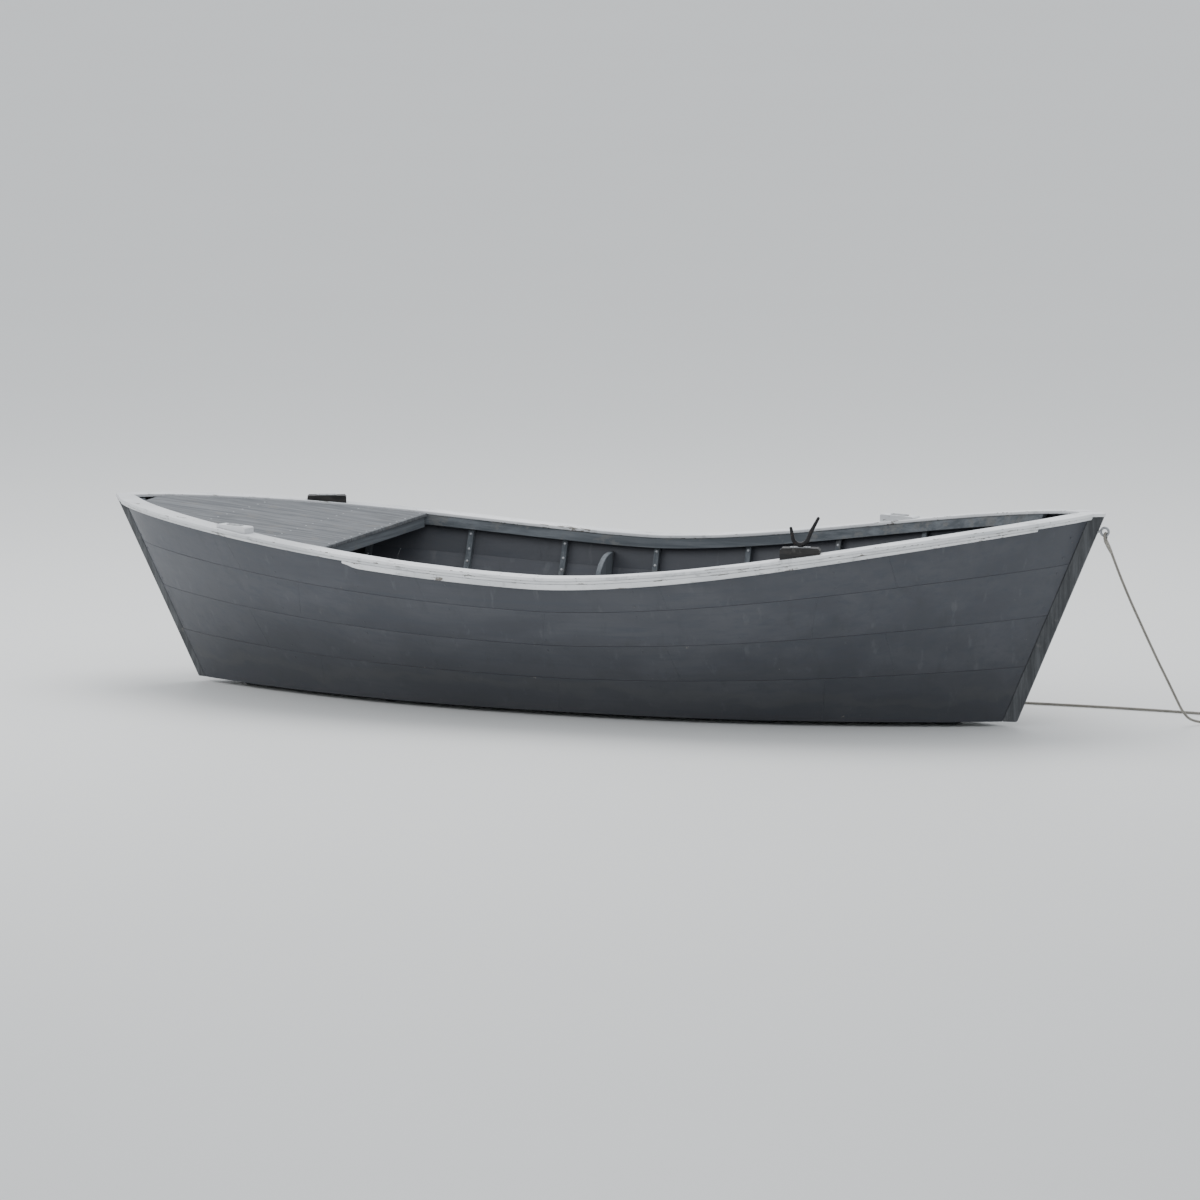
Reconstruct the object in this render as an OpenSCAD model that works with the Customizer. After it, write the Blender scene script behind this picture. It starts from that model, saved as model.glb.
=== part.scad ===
// Open double-ended wooden rowing boat, smooth-planked on sawn frames.
// +X is the bow, +Y is port, +Z is up. The origin is on the ground under the middle of the bottom.

/* [Hull] */
// Half the length of the planking along its top edge
sheer_half_length = 2080; // [1750:10:2500]
// Half the length of the planking along the bottom
bottom_half_length = 1720; // [1450:10:1900]
// Half the beam outside the planking, amidships
half_beam = 700; // [580:5:840]
// Half the width of the bottom outside the planking, amidships
bottom_half_width = 400; // [330:5:480]
// Height of the planking's top edge amidships
mid_height = 590; // [490:5:710]
// How much higher the top edge stands at the bow
bow_rise = 270; // [180:5:325]
// How much higher the top edge stands at the stern
stern_rise = 150; // [80:5:200]
// How far the side swells out beyond a straight line
side_bulge = 38; // [0:2:50]

/* [Planking] */
// Thickness of the side planks
plank_t = 12; // [9:1:15]
// Thickness of the bottom planks
bottom_t = 16; // [12:1:20]
// Height of the keel shoe and the bottom runners
shoe_t = 20; // [15:1:25]
// Width of the keel shoe
shoe_w = 70; // [50:2:90]
// Half the length of the keel shoe
shoe_half_length = 1560; // [1300:10:1600]
// Width of each bottom runner
runner_w = 44; // [30:2:60]
// Distance of each bottom runner from the centreline
runner_y = 225; // [180:5:250]
// Half the length of each bottom runner
runner_half_length = 850; // [600:10:950]

/* [Stems] */
// Half the width of each stem where the planks land
stem_half_w = 18; // [14:1:24]
// Depth of the bow cutwater in front of the planks
bow_cutwater = 56; // [40:2:70]
// Depth of the stern cutwater behind the planks
stern_cutwater = 34; // [24:2:50]
// Depth of the stem timber inside the planks
apron_depth = 60; // [45:5:80]

/* [Frames] */
// Distance between frames
frame_pitch = 400; // [370:10:420]
// Thickness of a frame along the boat
frame_w = 22; // [16:1:30]
// Depth of a frame at its foot
frame_foot = 44; // [34:2:54]
// Depth of a frame at its head
frame_head = 20; // [15:1:21]
// Height of the floor timbers
floor_h = 45; // [35:1:60]

/* [Rails] */
// Width of the outwale and of the rubbing strip
outwale_w = 20; // [14:1:28]
// Depth of the outwale
outwale_h = 12; // [8:1:20]
// Depth of the rubbing strip at its aft end
rub_h = 24; // [16:1:34]
// Width of the inwale
inwale_w = 18; // [14:1:24]
// Depth of the inwale
inwale_h = 40; // [30:1:50]
// Thickness of the cap rail
cap_t = 14; // [10:1:20]
// How far the cap rail stands out beyond the outwale
cap_lip = 5; // [2:1:10]

/* [Seats and decks] */
// Height of the thwarts' top faces
thwart_z = 385; // [330:5:400]
// Thickness of the thwarts
thwart_t = 22; // [16:1:28]
// Width of the thwarts along the boat
thwart_w = 230; // [180:5:270]
// Depth of the risers that carry the thwarts
riser_h = 50; // [35:1:60]
// Thickness of the risers
riser_t = 18; // [12:1:24]
// Forward edge of the stern deck
deck_x = -980; // [-1060:10:-920]
// Thickness of the deck planks
deck_t = 14; // [10:1:20]
// Number of deck planks
deck_planks = 7; // [5:1:9]
// Width of one floorboard
floorboard_w = 104; // [80:2:110]
// Thickness of the floorboards
floorboard_t = 12; // [9:1:16]

/* [Rowlocks] */
// Bow rowlock station, along the boat
bow_lock_x = 1080; // [1000:5:1130]
// Stern rowlock station, along the boat
stern_lock_x = -1400; // [-1440:5:-1300]
// Length of a rowlock pad
pad_l = 160; // [140:5:200]
// Width of a rowlock pad
pad_w = 52; // [46:2:70]
// Height of the white rowlock pads
pad_h = 20; // [20:1:40]
// Height of the dark chock under the shipped rowlock
bow_chock_h = 36; // [28:1:60]
// Height of the dark chock at the stern
stern_chock_h = 24; // [20:1:40]
// Radius of the rowlock shank
shank_r = 6.4; // [5:0.1:8]
// Radius of the U of the rowlock, at the middle of its bar
crutch_r = 31; // [26:1:36]
// Radius of the rowlock's bar
bar_r = 8; // [6:0.5:10]

/* [Fittings] */
// Radius of the drain hole and its bung
drain_r = 12; // [8:1:16]
// Radius of the mooring eye at the middle of its bar
eye_r = 16; // [14:1:20]
// Radius of the mooring eye's bar and bolt
eye_bar_r = 5; // [4:0.5:6]
// How far the mooring eye is below the bow's top edge
eye_drop = 60; // [45:5:90]

/* [Painter] */
// Diameter of the mooring rope
rope_d = 12; // [12:1:12]

/* [Hidden] */
round_fn = 48;
bed = 0.5;        // bedding gap between pieces that land on each other
// Gap between the side planks and what is fitted inside
skin_gap = 0.9 + (half_beam - bottom_half_width) / 200;
fit = 0.05;       // radial clearance of a running fit
strake_count = 4;
strake_edges = [0, 0.27, 0.52, 0.77, 1];   // plank edges, as shares of the side's height
segments = 40;
sheer_power = 1.6;
fan_power = 3;    // how late the stations start to lean with the stems
tip_round = 0.7;  // below 1 it rounds the ends of the top edge in plan

// ---- hull surface: s runs from -1 at the stern to 1 at the bow, t from 0 at the bottom to 1 at the top

function mix(a, b, k) = a + (b - a) * k;
function station(i) = let (u = 2 * i / segments - 1) 1.3 * u - 0.3 * pow(u, 3);
function sheer_z(s) = mid_height + (s > 0 ? bow_rise : stern_rise) * pow(abs(s), sheer_power);
function lean(s) = pow(abs(s), fan_power);
function hull_x(s, t) = s * (bottom_half_length + (sheer_half_length - bottom_half_length) * t * lean(s));
function fullness(s, t) = pow(max(0, 1 - pow(abs(s), mix(2.2, 3.4, t))), mix(1, tip_round, t));
function section_y(t) = mix(bottom_half_width, half_beam, t) + 4 * side_bulge * t * (1 - t);
function hull_y(s, t) = stem_half_w + (section_y(t) - stem_half_w) * fullness(s, t);
function hull_z(s, t) = mix(shoe_t, sheer_z(s), t);
function outer(s, t) = [hull_x(s, t), hull_y(s, t), hull_z(s, t)];
function unit(v) = v / norm(v);

// Direction into the boat, square to the planking
function inward_normal(s, t) =
    let (ds = 0.01, dt = 0.02)
    let (along = outer(min(s + ds, 1), t) - outer(max(s - ds, -1), t))
    let (up = outer(s, min(t + dt, 1)) - outer(s, max(t - dt, 0)))
    unit(cross(along, up));

// A point d inside the outer face, measured square to the plank but moved level
function inside(s, t, d) =
    let (n = inward_normal(s, t), level = [n.x, n.y, 0])
    outer(s, t) + level * d / (level * level);

// A point d inboard of the outer face, measured level
function inboard(s, t, d) =
    let (n = inward_normal(s, t))
    outer(s, t) + unit([n.x, n.y, 0]) * d;

stations = [for (i = [0 : segments]) station(i)];
function first_station(s) = min([for (i = [0 : segments]) if (stations[i] >= s) i]);
function last_station(s) = max([for (i = [0 : segments]) if (stations[i] <= s) i]);
function between(s0, s1) = [for (i = [first_station(s0) : last_station(s1)]) stations[i]];
function share_below_top(s, drop) = 1 - drop / (sheer_z(s) - shoe_t);

// Inner face of the planking: half breadth and height of each plank edge at a given x
inner_edges = [for (t = strake_edges) [for (s = stations) inside(s, t, plank_t)]];
edge_y = [for (e = inner_edges) [for (p = e) [p.x, p.y]]];
edge_z = [for (e = inner_edges) [for (p = e) [p.x, p.z]]];
function edge_height(x, k) = lookup(x, edge_z[k]);
function inner_y(x, z) = lookup(z, [for (k = [0 : strake_count]) [edge_height(x, k), lookup(x, edge_y[k])]]);

// Top edge of the planking: station share at a given x
sheer_s = [for (s = stations) [hull_x(s, 1), s]];
function sheer_share(x) = lookup(x, sheer_s);

bottom_top = shoe_t + bottom_t;

// ---- shared solids

// A solid through rings of equally many points; the sides named in flip are split on the other diagonal
module loft(rings, flip = []) {
    n = len(rings[0]);
    m = len(rings);
    function other(j) = len(search(j, flip)) > 0;
    sides = [
        for (i = [0 : m - 2], j = [0 : n - 1])
            let (a = i * n + j, b = i * n + (j + 1) % n, c = b + n, d = a + n)
            each other(j) ? [[a, b, d], [b, c, d]] : [[a, b, c], [a, c, d]]
    ];
    start = [for (j = [1 : n - 2]) [0, j + 1, j]];
    finish = [for (j = [1 : n - 2]) [(m - 1) * n, (m - 1) * n + j, (m - 1) * n + j + 1]];
    polyhedron([for (r = rings) each r], concat(sides, start, finish), convexity = 6);
}

module starboard() {
    mirror([0, 1, 0]) children();
}

// Draws its child once for each length between the joints; the child lofts its own $from to $to
module lengths(joints) {
    for (i = [0 : len(joints) - 2]) {
        $from = joints[i];
        $to = joints[i + 1];
        children();
    }
}

// Stations of one length; it starts a hair forward of its joint, so lengths don't fuse
joint_gap = 0.0002;
function run() =
    let (first = first_station($from), last = first_station($to))
    concat(
        [stations[first] + ($from > -1 ? joint_gap : 0)],
        [for (i = [first + 1 : last]) stations[i]]
    );

// A straight bar along x with a flat underside and sloped ends
module shoe_bar(half_length, width, y) {
    slope = 30;
    translate([0, y + width / 2, 0])
        rotate([90, 0, 0])
            linear_extrude(width)
                polygon([
                    [-half_length, shoe_t], [slope - half_length, 0],
                    [half_length - slope, 0], [half_length, shoe_t]
                ]);
}

// ---- planking

bottom_outline = [for (p = inner_edges[0]) [p.x, p.y]];
bottom_planks = 5;
bottom_plank_w = 2 * bottom_half_width / bottom_planks;
drain_x = -890;
drain_y = bottom_plank_w * 0.9;

module bottom_plank(i) {
    y0 = (i - 1 - bottom_planks / 2) * bottom_plank_w;
    other_side = [for (p = bottom_outline) [p.x, -p.y]];
    color("dimgray")
        difference() {
            intersection() {
                translate([0, 0, shoe_t])
                    linear_extrude(bottom_t)
                        polygon(concat(bottom_outline, [for (i = [segments : -1 : 0]) other_side[i]]));
                translate([-sheer_half_length, y0, 0])
                    cube([2 * sheer_half_length, bottom_plank_w, 2 * bottom_top]);
            }
            translate([drain_x, drain_y, 0])
                cylinder(r = drain_r + fit, h = 2 * bottom_top, $fn = round_fn);
        }
}

// Joints of the planks' lengths, staggered from strake to strake
odd_joints = [-1, -0.62, 0, 0.62, 1];
even_joints = [-1, -0.76, -0.3, 0.3, 0.76, 1];
rail_joints = [-1, -0.84, -0.5, 0, 0.5, 0.84, 1];

module strake(k) {
    t0 = strake_edges[k - 1];
    t1 = strake_edges[k];
    color("slategray")
        lengths(k % 2 == 1 ? odd_joints : even_joints)
            loft([
                for (s = run())
                    [outer(s, t0), inside(s, t0, plank_t), inside(s, t1, plank_t), outer(s, t1)]
            ], flip = [0]);
}

module keel_shoe() {
    color("dimgray") shoe_bar(shoe_half_length, shoe_w, 0);
}

module bottom_runners() {
    color("dimgray")
        for (side = [-1, 1])
            shoe_bar(runner_half_length, runner_w, side * runner_y);
}

// ---- stems

cutwater_nose = 0.45;   // width of the cutwater's edge as a share of its root

module cutwater(end, depth) {
    nose = stem_half_w * cutwater_nose;
    color("dimgray")
        difference() {
            loft([
                for (t = strake_edges)
                    let (x = abs(hull_x(end, t)) + bed, z = hull_z(end, t) - (t == 1 ? bed : 0))
                    [
                        [end * x, -end * stem_half_w, z], [end * (x + depth), -end * nose, z],
                        [end * (x + depth), end * nose, z], [end * x, end * stem_half_w, z]
                    ]
            ]);
            if (end > 0) eye_hole();
        }
}

module stem(end) {
    back_half_w = 40;
    color("slategray")
        difference() {
            loft([
                for (k = [0 : strake_count])
                    let (tip = inside(end, strake_edges[k], plank_t))
                    let (x0 = abs(tip.x) - bed, x1 = x0 - apron_depth, y0 = tip.y - 1)
                    let (y1 = min(back_half_w, lookup(end * x1, edge_y[k]) - 2 * skin_gap))
                    let (drop = k == strake_count ? 2 * bed : 0)
                    let (z0 = k == 0 ? bottom_top + bed : tip.z - drop)
                    let (z1 = k == 0 ? bottom_top + bed : edge_height(end * x1, k) - drop)
                    [
                        [end * x1, -end * y1, z1], [end * x0, -end * y0, z0],
                        [end * x0, end * y0, z0], [end * x1, end * y1, z1]
                    ]
            ]);
            if (end > 0) eye_hole();
        }
}

// ---- frames

frame_count = 7;
function frame_x(i) = (i - (frame_count + 1) / 2) * frame_pitch;

// Depth of a frame at height z
function frame_depth(x, z) =
    lookup(z, [
        [bottom_top, frame_foot], [edge_height(x, 3), frame_head + 3], [edge_height(x, 4), frame_head]
    ]);
function frame_inner_y(x, z) = inner_y(x, z) - skin_gap - frame_depth(x, z);
function side_ring(x) =
    let (top = edge_height(x, strake_count) - 2)
    let (heights = [bottom_top + bed, edge_height(x, 1), edge_height(x, 2), edge_height(x, 3), top])
    concat(
        [for (z = heights) [x, inner_y(x, z) - skin_gap, z]],
        [for (j = [4 : -1 : 0]) [x, frame_inner_y(x, heights[j]), heights[j]]]
    );

// One side timber: its two faces follow the hull, so its edges are bevelled
module side_timber(x) {
    aft = side_ring(x - frame_w / 2);
    fore = side_ring(x + frame_w / 2);
    n = len(aft);
    half = n / 2;
    edge = [for (j = [0 : n - 1]) let (b = (j + 1) % n) each [[j, j + n, b + n], [j, b + n, b]]];
    faces = [
        for (j = [0 : half - 2]) let (a = n - 1 - j)
            each [[j, j + 1, a - 1], [j, a - 1, a]]
    ];
    far = [
        for (f = faces) [f[0] + n, f[2] + n, f[1] + n]
    ];
    polyhedron(concat(aft, fore), concat(edge, faces, far), convexity = 4);
}

module frame(i) {
    x = frame_x(i);
    limber_r = 12;
    foot_y = min([for (side = [-1, 1]) frame_inner_y(x + side * frame_w / 2, bottom_top)]) - bed;
    limber_y = foot_y * 0.72;
    color("lightslategray") {
        side_timber(x);
        starboard() side_timber(x);
        difference() {
            translate([x - frame_w / 2, -foot_y, bottom_top])
                cube([frame_w, 2 * foot_y, floor_h]);
            for (side = [-1, 1])
                translate([x, side * limber_y, bottom_top])
                    rotate([0, 90, 0])
                        cylinder(r = limber_r, h = 2 * frame_w, center = true, $fn = round_fn);
        }
    }
}

// ---- rails

// A rail outside the planking, from drop0 to drop1 below the top edge
function outside_ring(s, drop0, drop1) =
    let (t0 = share_below_top(s, drop0), t1 = share_below_top(s, drop1))
    [
        inboard(s, t1, -bed), inboard(s, t0, -bed),
        inboard(s, t0, -bed - outwale_w), inboard(s, t1, -bed - outwale_w)
    ];

module outwale() {
    color("gainsboro")
        lengths(rail_joints)
            loft([for (s = run()) outside_ring(s, 0, outwale_h)]);
}

rub_joints = [-0.48, 0, 0.5, 0.84, 0.95];
rub_bow_share = 0.35;
function rub_depth(s) = rub_h * mix(1, rub_bow_share, pow(max(0, s), 2));

module rubbing_strip() {
    color("gainsboro")
        lengths(rub_joints)
            loft([
                for (s = run())
                    outside_ring(s, outwale_h + bed, outwale_h + bed + rub_depth(s))
            ]);
}

plank_level = outer(0, 0.9).y - inside(0, 0.9, plank_t).y;     // thickness of the top plank, measured level
inwale_off = plank_level + skin_gap + frame_head + 3;   // face of the inwale that the frame heads meet
cap_inner = inwale_off + inwale_w + 2;
cap_outer = bed + outwale_w + cap_lip;
inwale_joints = [-0.93, -0.5, 0, 0.5, 0.92];

module inwale() {
    color("lightslategray")
        lengths(inwale_joints)
            loft([
                for (s = run())
                    let (t = share_below_top(s, inwale_h))
                    [
                        inboard(s, t, inwale_off + inwale_w), inboard(s, 1, inwale_off + inwale_w),
                        inboard(s, 1, inwale_off), inboard(s, t, inwale_off)
                    ]
            ]);
}

function raised(p, h) = [p.x, p.y, p.z + h];

// How far the cap rail reaches inboard: its full width, or up to the other rail where they meet
function cap_reach(s) = min(cap_inner, (hull_y(s, 1) - bed / 2) / abs(unit_level(s).y));
function unit_level(s) = let (n = inward_normal(s, 1)) unit([n.x, n.y, 0]);

module cap_rail() {
    color("gainsboro")
        difference() {
            lengths(rail_joints)
                loft([
                    for (s = run())
                        let (out = inboard(s, 1, -cap_outer), into = inboard(s, 1, cap_reach(s)))
                        [
                            raised(into, bed), raised(into, bed + cap_t),
                            raised(out, bed + cap_t), raised(out, bed)
                        ]
                ]);
            for (x = [bow_lock_x, stern_lock_x])
                at_lock(x)
                    translate([0, 0, -200])
                        cylinder(r = socket_r + 0.1, h = 400, $fn = round_fn);
        }
}

// The piece that fills the angle between the cap rails over one stem head
module stem_cap(end, depth) {
    into = inboard(end, 1, cap_reach(end));
    out = inboard(end, 1, -cap_outer);
    nose_x = sheer_half_length + depth + cap_lip;
    nose_y = stem_half_w * 0.7;
    color("gainsboro")
        translate([0, 0, out.z + bed])
            linear_extrude(cap_t)
                polygon([
                    [into.x + end * bed, 0], [out.x + end * bed, -out.y], [end * (nose_x - 8), -nose_y - 3],
                    [end * nose_x, -nose_y + 4], [end * nose_x, nose_y - 4], [end * (nose_x - 8), nose_y + 3],
                    [out.x + end * bed, out.y]
                ]);
}

module stem_caps() {
    stem_cap(1, bow_cutwater);
    stem_cap(-1, stern_cutwater);
}

breasthook_t = 28;

// Back of a stem at height z, and the top plank's inner half breadth at x and height z
function stem_back(end, z) =
    let (foot = abs(inside(end, 0, plank_t).x), head = abs(inside(end, 1, plank_t).x))
    mix(foot, head, (z - shoe_t) / (sheer_z(end) - shoe_t)) - apron_depth - 2;
function top_plank_y(x, z) =
    lookup(x, [
        for (s = stations)
            let (low = inside(s, strake_edges[strake_count - 1], plank_t), high = inside(s, 1, plank_t))
            let (p = mix(low, high, (z - low.z) / (high.z - low.z)))
            [p.x, p.y]
    ]);

// The knee that ties the two sides together behind a stem
module breasthook(end) {
    inwale_end = first_station(end > 0 ? max(inwale_joints) : min(inwale_joints));
    aft = abs(inboard(stations[inwale_end], 1, inwale_off).x) + 8;
    top = edge_height(end * aft, strake_count) - cap_t;
    low = top - breasthook_t;
    fore = stem_back(end, low);
    y0 = top_plank_y(end * aft, low) - 2 * skin_gap;
    y1 = top_plank_y(end * fore, low) - 2 * skin_gap;
    color("lightslategray")
        translate([0, 0, low])
            difference() {
                linear_extrude(breasthook_t)
                    polygon([
                        [end * aft, -y0], [end * fore, -y1], [end * fore, y1], [end * aft, y0]
                    ]);
                translate([end * (aft - y0 / 3), 0, -1])
                    cylinder(r = y0 * 0.82, h = breasthook_t + 2, $fn = 96);
            }
}

// ---- thwarts and their supports

thwart_xs = [-frame_pitch / 2, 1.5 * frame_pitch, 3.5 * frame_pitch];
riser_lengths = [for (k = [[-9, 0], [0, 8], [8, 15]]) k * frame_pitch / 4];
riser_gap = 0.4;   // hairline between two lengths of a riser
riser_top = thwart_z - thwart_t - bed;

module riser() {
    function face(x, z) = frame_inner_y(x, z) - bed;
    low = riser_top - riser_h;
    color("lightslategray")
        for (part = riser_lengths)
            loft([
                for (q = [part[0] : frame_pitch / 4 : part[1]])
                    let (x = q == part[0] ? q + riser_gap : q)
                    [
                        [x, face(x, low) - riser_t, low], [x, face(x, riser_top) - riser_t, riser_top],
                        [x, face(x, riser_top), riser_top], [x, face(x, low), low]
                    ]
            ]);
}

module thwart(i) {
    x = thwart_xs[i - 1];
    x0 = x - thwart_w / 2;
    x1 = x + thwart_w / 2;
    low = thwart_z - thwart_t;
    y0 = inner_y(x0, low) - 2 * skin_gap;
    y1 = inner_y(x1, low) - 2 * skin_gap;
    color("lightslategray")
        translate([0, 0, low])
            linear_extrude(thwart_t)
                polygon([[x0, -y0], [x1, -y1], [x1, y1], [x0, y0]]);
}

knee_reach = 120;
knee_head = 26;
knee_h = 140;

module thwart_knee(x) {
    function face(z) = min(inner_y(x - frame_w / 2, z), inner_y(x + frame_w / 2, z)) - 2 * skin_gap;
    low = thwart_z + bed;
    top = min(edge_height(x, strake_count) - inwale_h - 5, low + knee_h);
    steps = 6;
    back = [for (j = [0 : steps]) let (z = mix(low, top, j / steps)) [face(z), z]];
    front = [
        for (j = [steps : -1 : 0])
            let (a = 90 * j / steps)
            [
                mix(face(low) - knee_reach, face(top) - knee_head, 1 - cos(a)),
                mix(low + 14, top, sin(a))
            ]
    ];
    translate([x - frame_w / 2, 0, 0])
        rotate([90, 0, 90])
            linear_extrude(frame_w)
                polygon(concat(back, front, [[face(low) - knee_reach, low]]));
}

module thwart_knees() {
    color("lightslategray")
        for (x = thwart_xs) {
            thwart_knee(x);
            starboard() thwart_knee(x);
        }
}

// ---- stern deck

deck_drop = 8;     // how far the deck's top is below the cap rail's top
deck_edge_off = cap_inner + 4;
deck_aft_s = -0.98;
function deck_point(s) =
    let (p = inboard(s, 1, deck_edge_off))
    [p.x, p.y, p.z + bed + cap_t - deck_drop];
deck_line = [for (s = between(deck_aft_s, -0.3)) deck_point(s)];
function deck_half(x) = lookup(x, [for (p = deck_line) [p.x, p.y]]);
function deck_top(x) = lookup(x, [for (p = deck_line) [p.x, p.z]]);
deck_stations = concat([for (p = deck_line) if (p.x < deck_x - 5) p.x], [deck_x]);

module deck_slab() {
    loft([
        for (x = deck_stations)
            let (y = deck_half(x), z = deck_top(x))
            [[x, -y, z - deck_t], [x, y, z - deck_t], [x, y, z], [x, -y, z]]
    ]);
}

module stern_deck() {
    seam = 2;
    pitch = 2 * deck_half(deck_x) / deck_planks;
    color("silver")
        intersection() {
            deck_slab();
            for (i = [0 : deck_planks - 1])
                translate([-sheer_half_length, (i - deck_planks / 2) * pitch + seam / 2, 0])
                    cube([sheer_half_length, pitch - seam, 2 * mid_height]);
        }
}

beam_w = 26;
beam_h = 42;
beam_xs = [deck_x - beam_w / 2 - 4, mix(deck_x, stern_lock_x, 0.6), stern_lock_x - 180];

module deck_beams() {
    inwale_foot = [
        for (s = between(deck_aft_s, -0.3)) inboard(s, share_below_top(s, inwale_h), inwale_off + inwale_w)
    ];
    foot_y = [for (p = inwale_foot) [p.x, p.y]];
    color("lightslategray")
        for (x = beam_xs) {
            aft = x - beam_w / 2;
            y = lookup(aft, foot_y) - 1;
            z = deck_top(x + beam_w / 2) - deck_t - bed;
            translate([aft, -y, z - beam_h]) cube([beam_w, 2 * y, beam_h]);
        }
}

// ---- floorboards

floorboard_z = bottom_top + floor_h + bed;
floorboard_count = 5;
floorboard_gap = 12;

module floorboards() {
    pitch = floorboard_w + floorboard_gap;
    color("lightslategray")
        for (i = [0 : floorboard_count - 1]) {
            y = (i - (floorboard_count - 1) / 2) * pitch;
            reach = abs(y) + floorboard_w / 2 + 4;
            ends = [
                for (f = [2 : frame_count])
                    if (frame_inner_y(frame_x(f) + frame_w, floorboard_z) > reach) frame_x(f)
            ];
            starts = [
                for (f = [2 : frame_count])
                    if (frame_inner_y(frame_x(f) - frame_w, floorboard_z) > reach) frame_x(f)
            ];
            x0 = min(starts) - 30;
            x1 = max(ends) + 30;
            translate([x0, y - floorboard_w / 2, floorboard_z])
                cube([x1 - x0, floorboard_w, floorboard_t]);
        }
}

// ---- rowlock stations

socket_r = shank_r + fit + 3;
plate_t = 3;
plate_l = 84;
plate_w = 30;
screw_x = 30;
screw_r = 2;
lock_off = plank_t + 14;   // how far the socket is inboard of the planking's outer face

// Places children at a rowlock socket: local x along the rail, z 0 on the cap rail's top
module at_lock(x) {
    s = sheer_share(x);
    p = inboard(s, 1, lock_off);
    ahead = outer(s + 0.02, 1) - outer(s - 0.02, 1);
    translate([p.x, p.y, sheer_z(s) + bed + cap_t])
        rotate([0, 0, atan2(ahead.y, ahead.x)])
            children();
}

// Height of the cap rail's top at a distance along the rail from the socket
function rail_rise(x, d) = sheer_z(sheer_share(x + d)) - sheer_z(sheer_share(x));

module rowlock_pad(x, height, paint) {
    half = pad_l / 2;
    chamfer = height / 4;
    function shoulder(d) = max(height - chamfer, rail_rise(x, d) + 2 * bed + 2);
    color(paint)
        at_lock(x)
            difference() {
                translate([0, pad_w / 2, 0])
                    rotate([90, 0, 0])
                        linear_extrude(pad_w)
                            polygon([
                                [-half, rail_rise(x, -half) + 2 * bed], [half, rail_rise(x, half) + 2 * bed],
                                [half, shoulder(half)], [half - chamfer, height],
                                [chamfer - half, height], [-half, shoulder(-half)]
                            ]);
                translate([0, 0, -cap_t])
                    cylinder(r = socket_r + 0.1, h = height + 2 * cap_t, $fn = round_fn);
                for (side = [-1, 1])
                    translate([side * screw_x, 0, height - 18])
                        cylinder(r = screw_r + 0.1, h = 30, $fn = round_fn);
            }
}

module rowlock_socket(x, height) {
    at_lock(x)
        difference() {
            union() {
                translate([0, 0, height]) {
                    translate([-(plate_l - plate_w) / 2, -plate_w / 2, 0])
                        cube([plate_l - plate_w, plate_w, plate_t]);
                    for (side = [-1, 1])
                        translate([side * (plate_l - plate_w) / 2, 0, 0])
                            cylinder(r = plate_w / 2, h = plate_t, $fn = round_fn);
                }
                translate([0, 0, -cap_t])
                    cylinder(r = socket_r, h = height + cap_t, $fn = round_fn);
            }
            translate([0, 0, -2 * cap_t])
                cylinder(r = shank_r + fit, h = height + 4 * cap_t, $fn = round_fn);
            for (side = [-1, 1])
                translate([side * screw_x, 0, height - 1])
                    cylinder(r = screw_r + 0.1, h = 20, $fn = round_fn);
        }
}

module each_station() {
    at_station = [
        [bow_lock_x, pad_h, 1], [stern_lock_x, stern_chock_h, 1],
        [bow_lock_x, bow_chock_h, -1], [stern_lock_x, pad_h, -1]
    ];
    for (a = at_station) {
        $station_x = a[0];
        $station_h = a[1];
        mirror([0, a[2] < 0 ? 1 : 0, 0]) children();
    }
}

module rowlock_sockets() {
    color("silver") each_station() rowlock_socket($station_x, $station_h);
}

module socket_screws() {
    color("silver")
        each_station()
            at_lock($station_x)
                for (side = [-1, 1])
                    translate([side * screw_x, 0, $station_h + plate_t]) {
                        cylinder(r = 2 * screw_r, h = 1.6, $fn = round_fn);
                        translate([0, 0, -15]) cylinder(r = screw_r, h = 15.5, $fn = round_fn);
                    }
}

shank_l = bow_chock_h + cap_t + plate_t + 4;
horn_fore = 84;
horn_aft = 34;

// Rowlock at rest, turned so its crutch stands along the rail
module rowlock() {
    rise = bar_r + crutch_r - 3;
    lean_fore = 28;
    lean_aft = 12;
    color("dimgray")
        starboard()
            at_lock(bow_lock_x)
                translate([0, 0, bow_chock_h + plate_t + 0.1]) {
                    translate([0, 0, -shank_l]) cylinder(r = shank_r, h = shank_l + 1, $fn = round_fn);
                    cylinder(r = 12, h = 6, $fn = round_fn);
                    translate([0, 0, rise + 4])
                        rotate([90, 0, 0])
                            rotate([0, 0, 180])
                                rotate_extrude(angle = 180, $fn = round_fn)
                                    translate([crutch_r, 0]) circle(r = bar_r, $fn = 24);
                    for (horn = [[1, horn_fore, lean_fore], [-1, horn_aft, lean_aft]])
                        translate([horn[0] * crutch_r, 0, rise + 4])
                            rotate([0, horn[0] * horn[2], 0]) {
                                sphere(r = bar_r, $fn = 24);
                                cylinder(r = bar_r, h = horn[1], $fn = 24);
                                translate([0, 0, horn[1]]) sphere(r = bar_r, $fn = 24);
                            }
                }
}

// ---- drain bung

module drain_bung() {
    color("black")
        translate([drain_x, drain_y, shoe_t - 2]) {
            cylinder(r = drain_r, h = bottom_t + 12, $fn = round_fn);
            translate([0, 0, bottom_t + 2 + 0.1]) cylinder(r = drain_r + 6, h = 10, $fn = round_fn);
            translate([0, 0, bottom_t + 12])
                difference() {
                    cylinder(r = drain_r - 3, h = 16, $fn = round_fn);
                    translate([0, 0, 9])
                        rotate([90, 0, 0])
                            cylinder(r = 4, h = 4 * drain_r, center = true, $fn = round_fn);
                }
        }
}

// ---- mooring eye and painter

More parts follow.
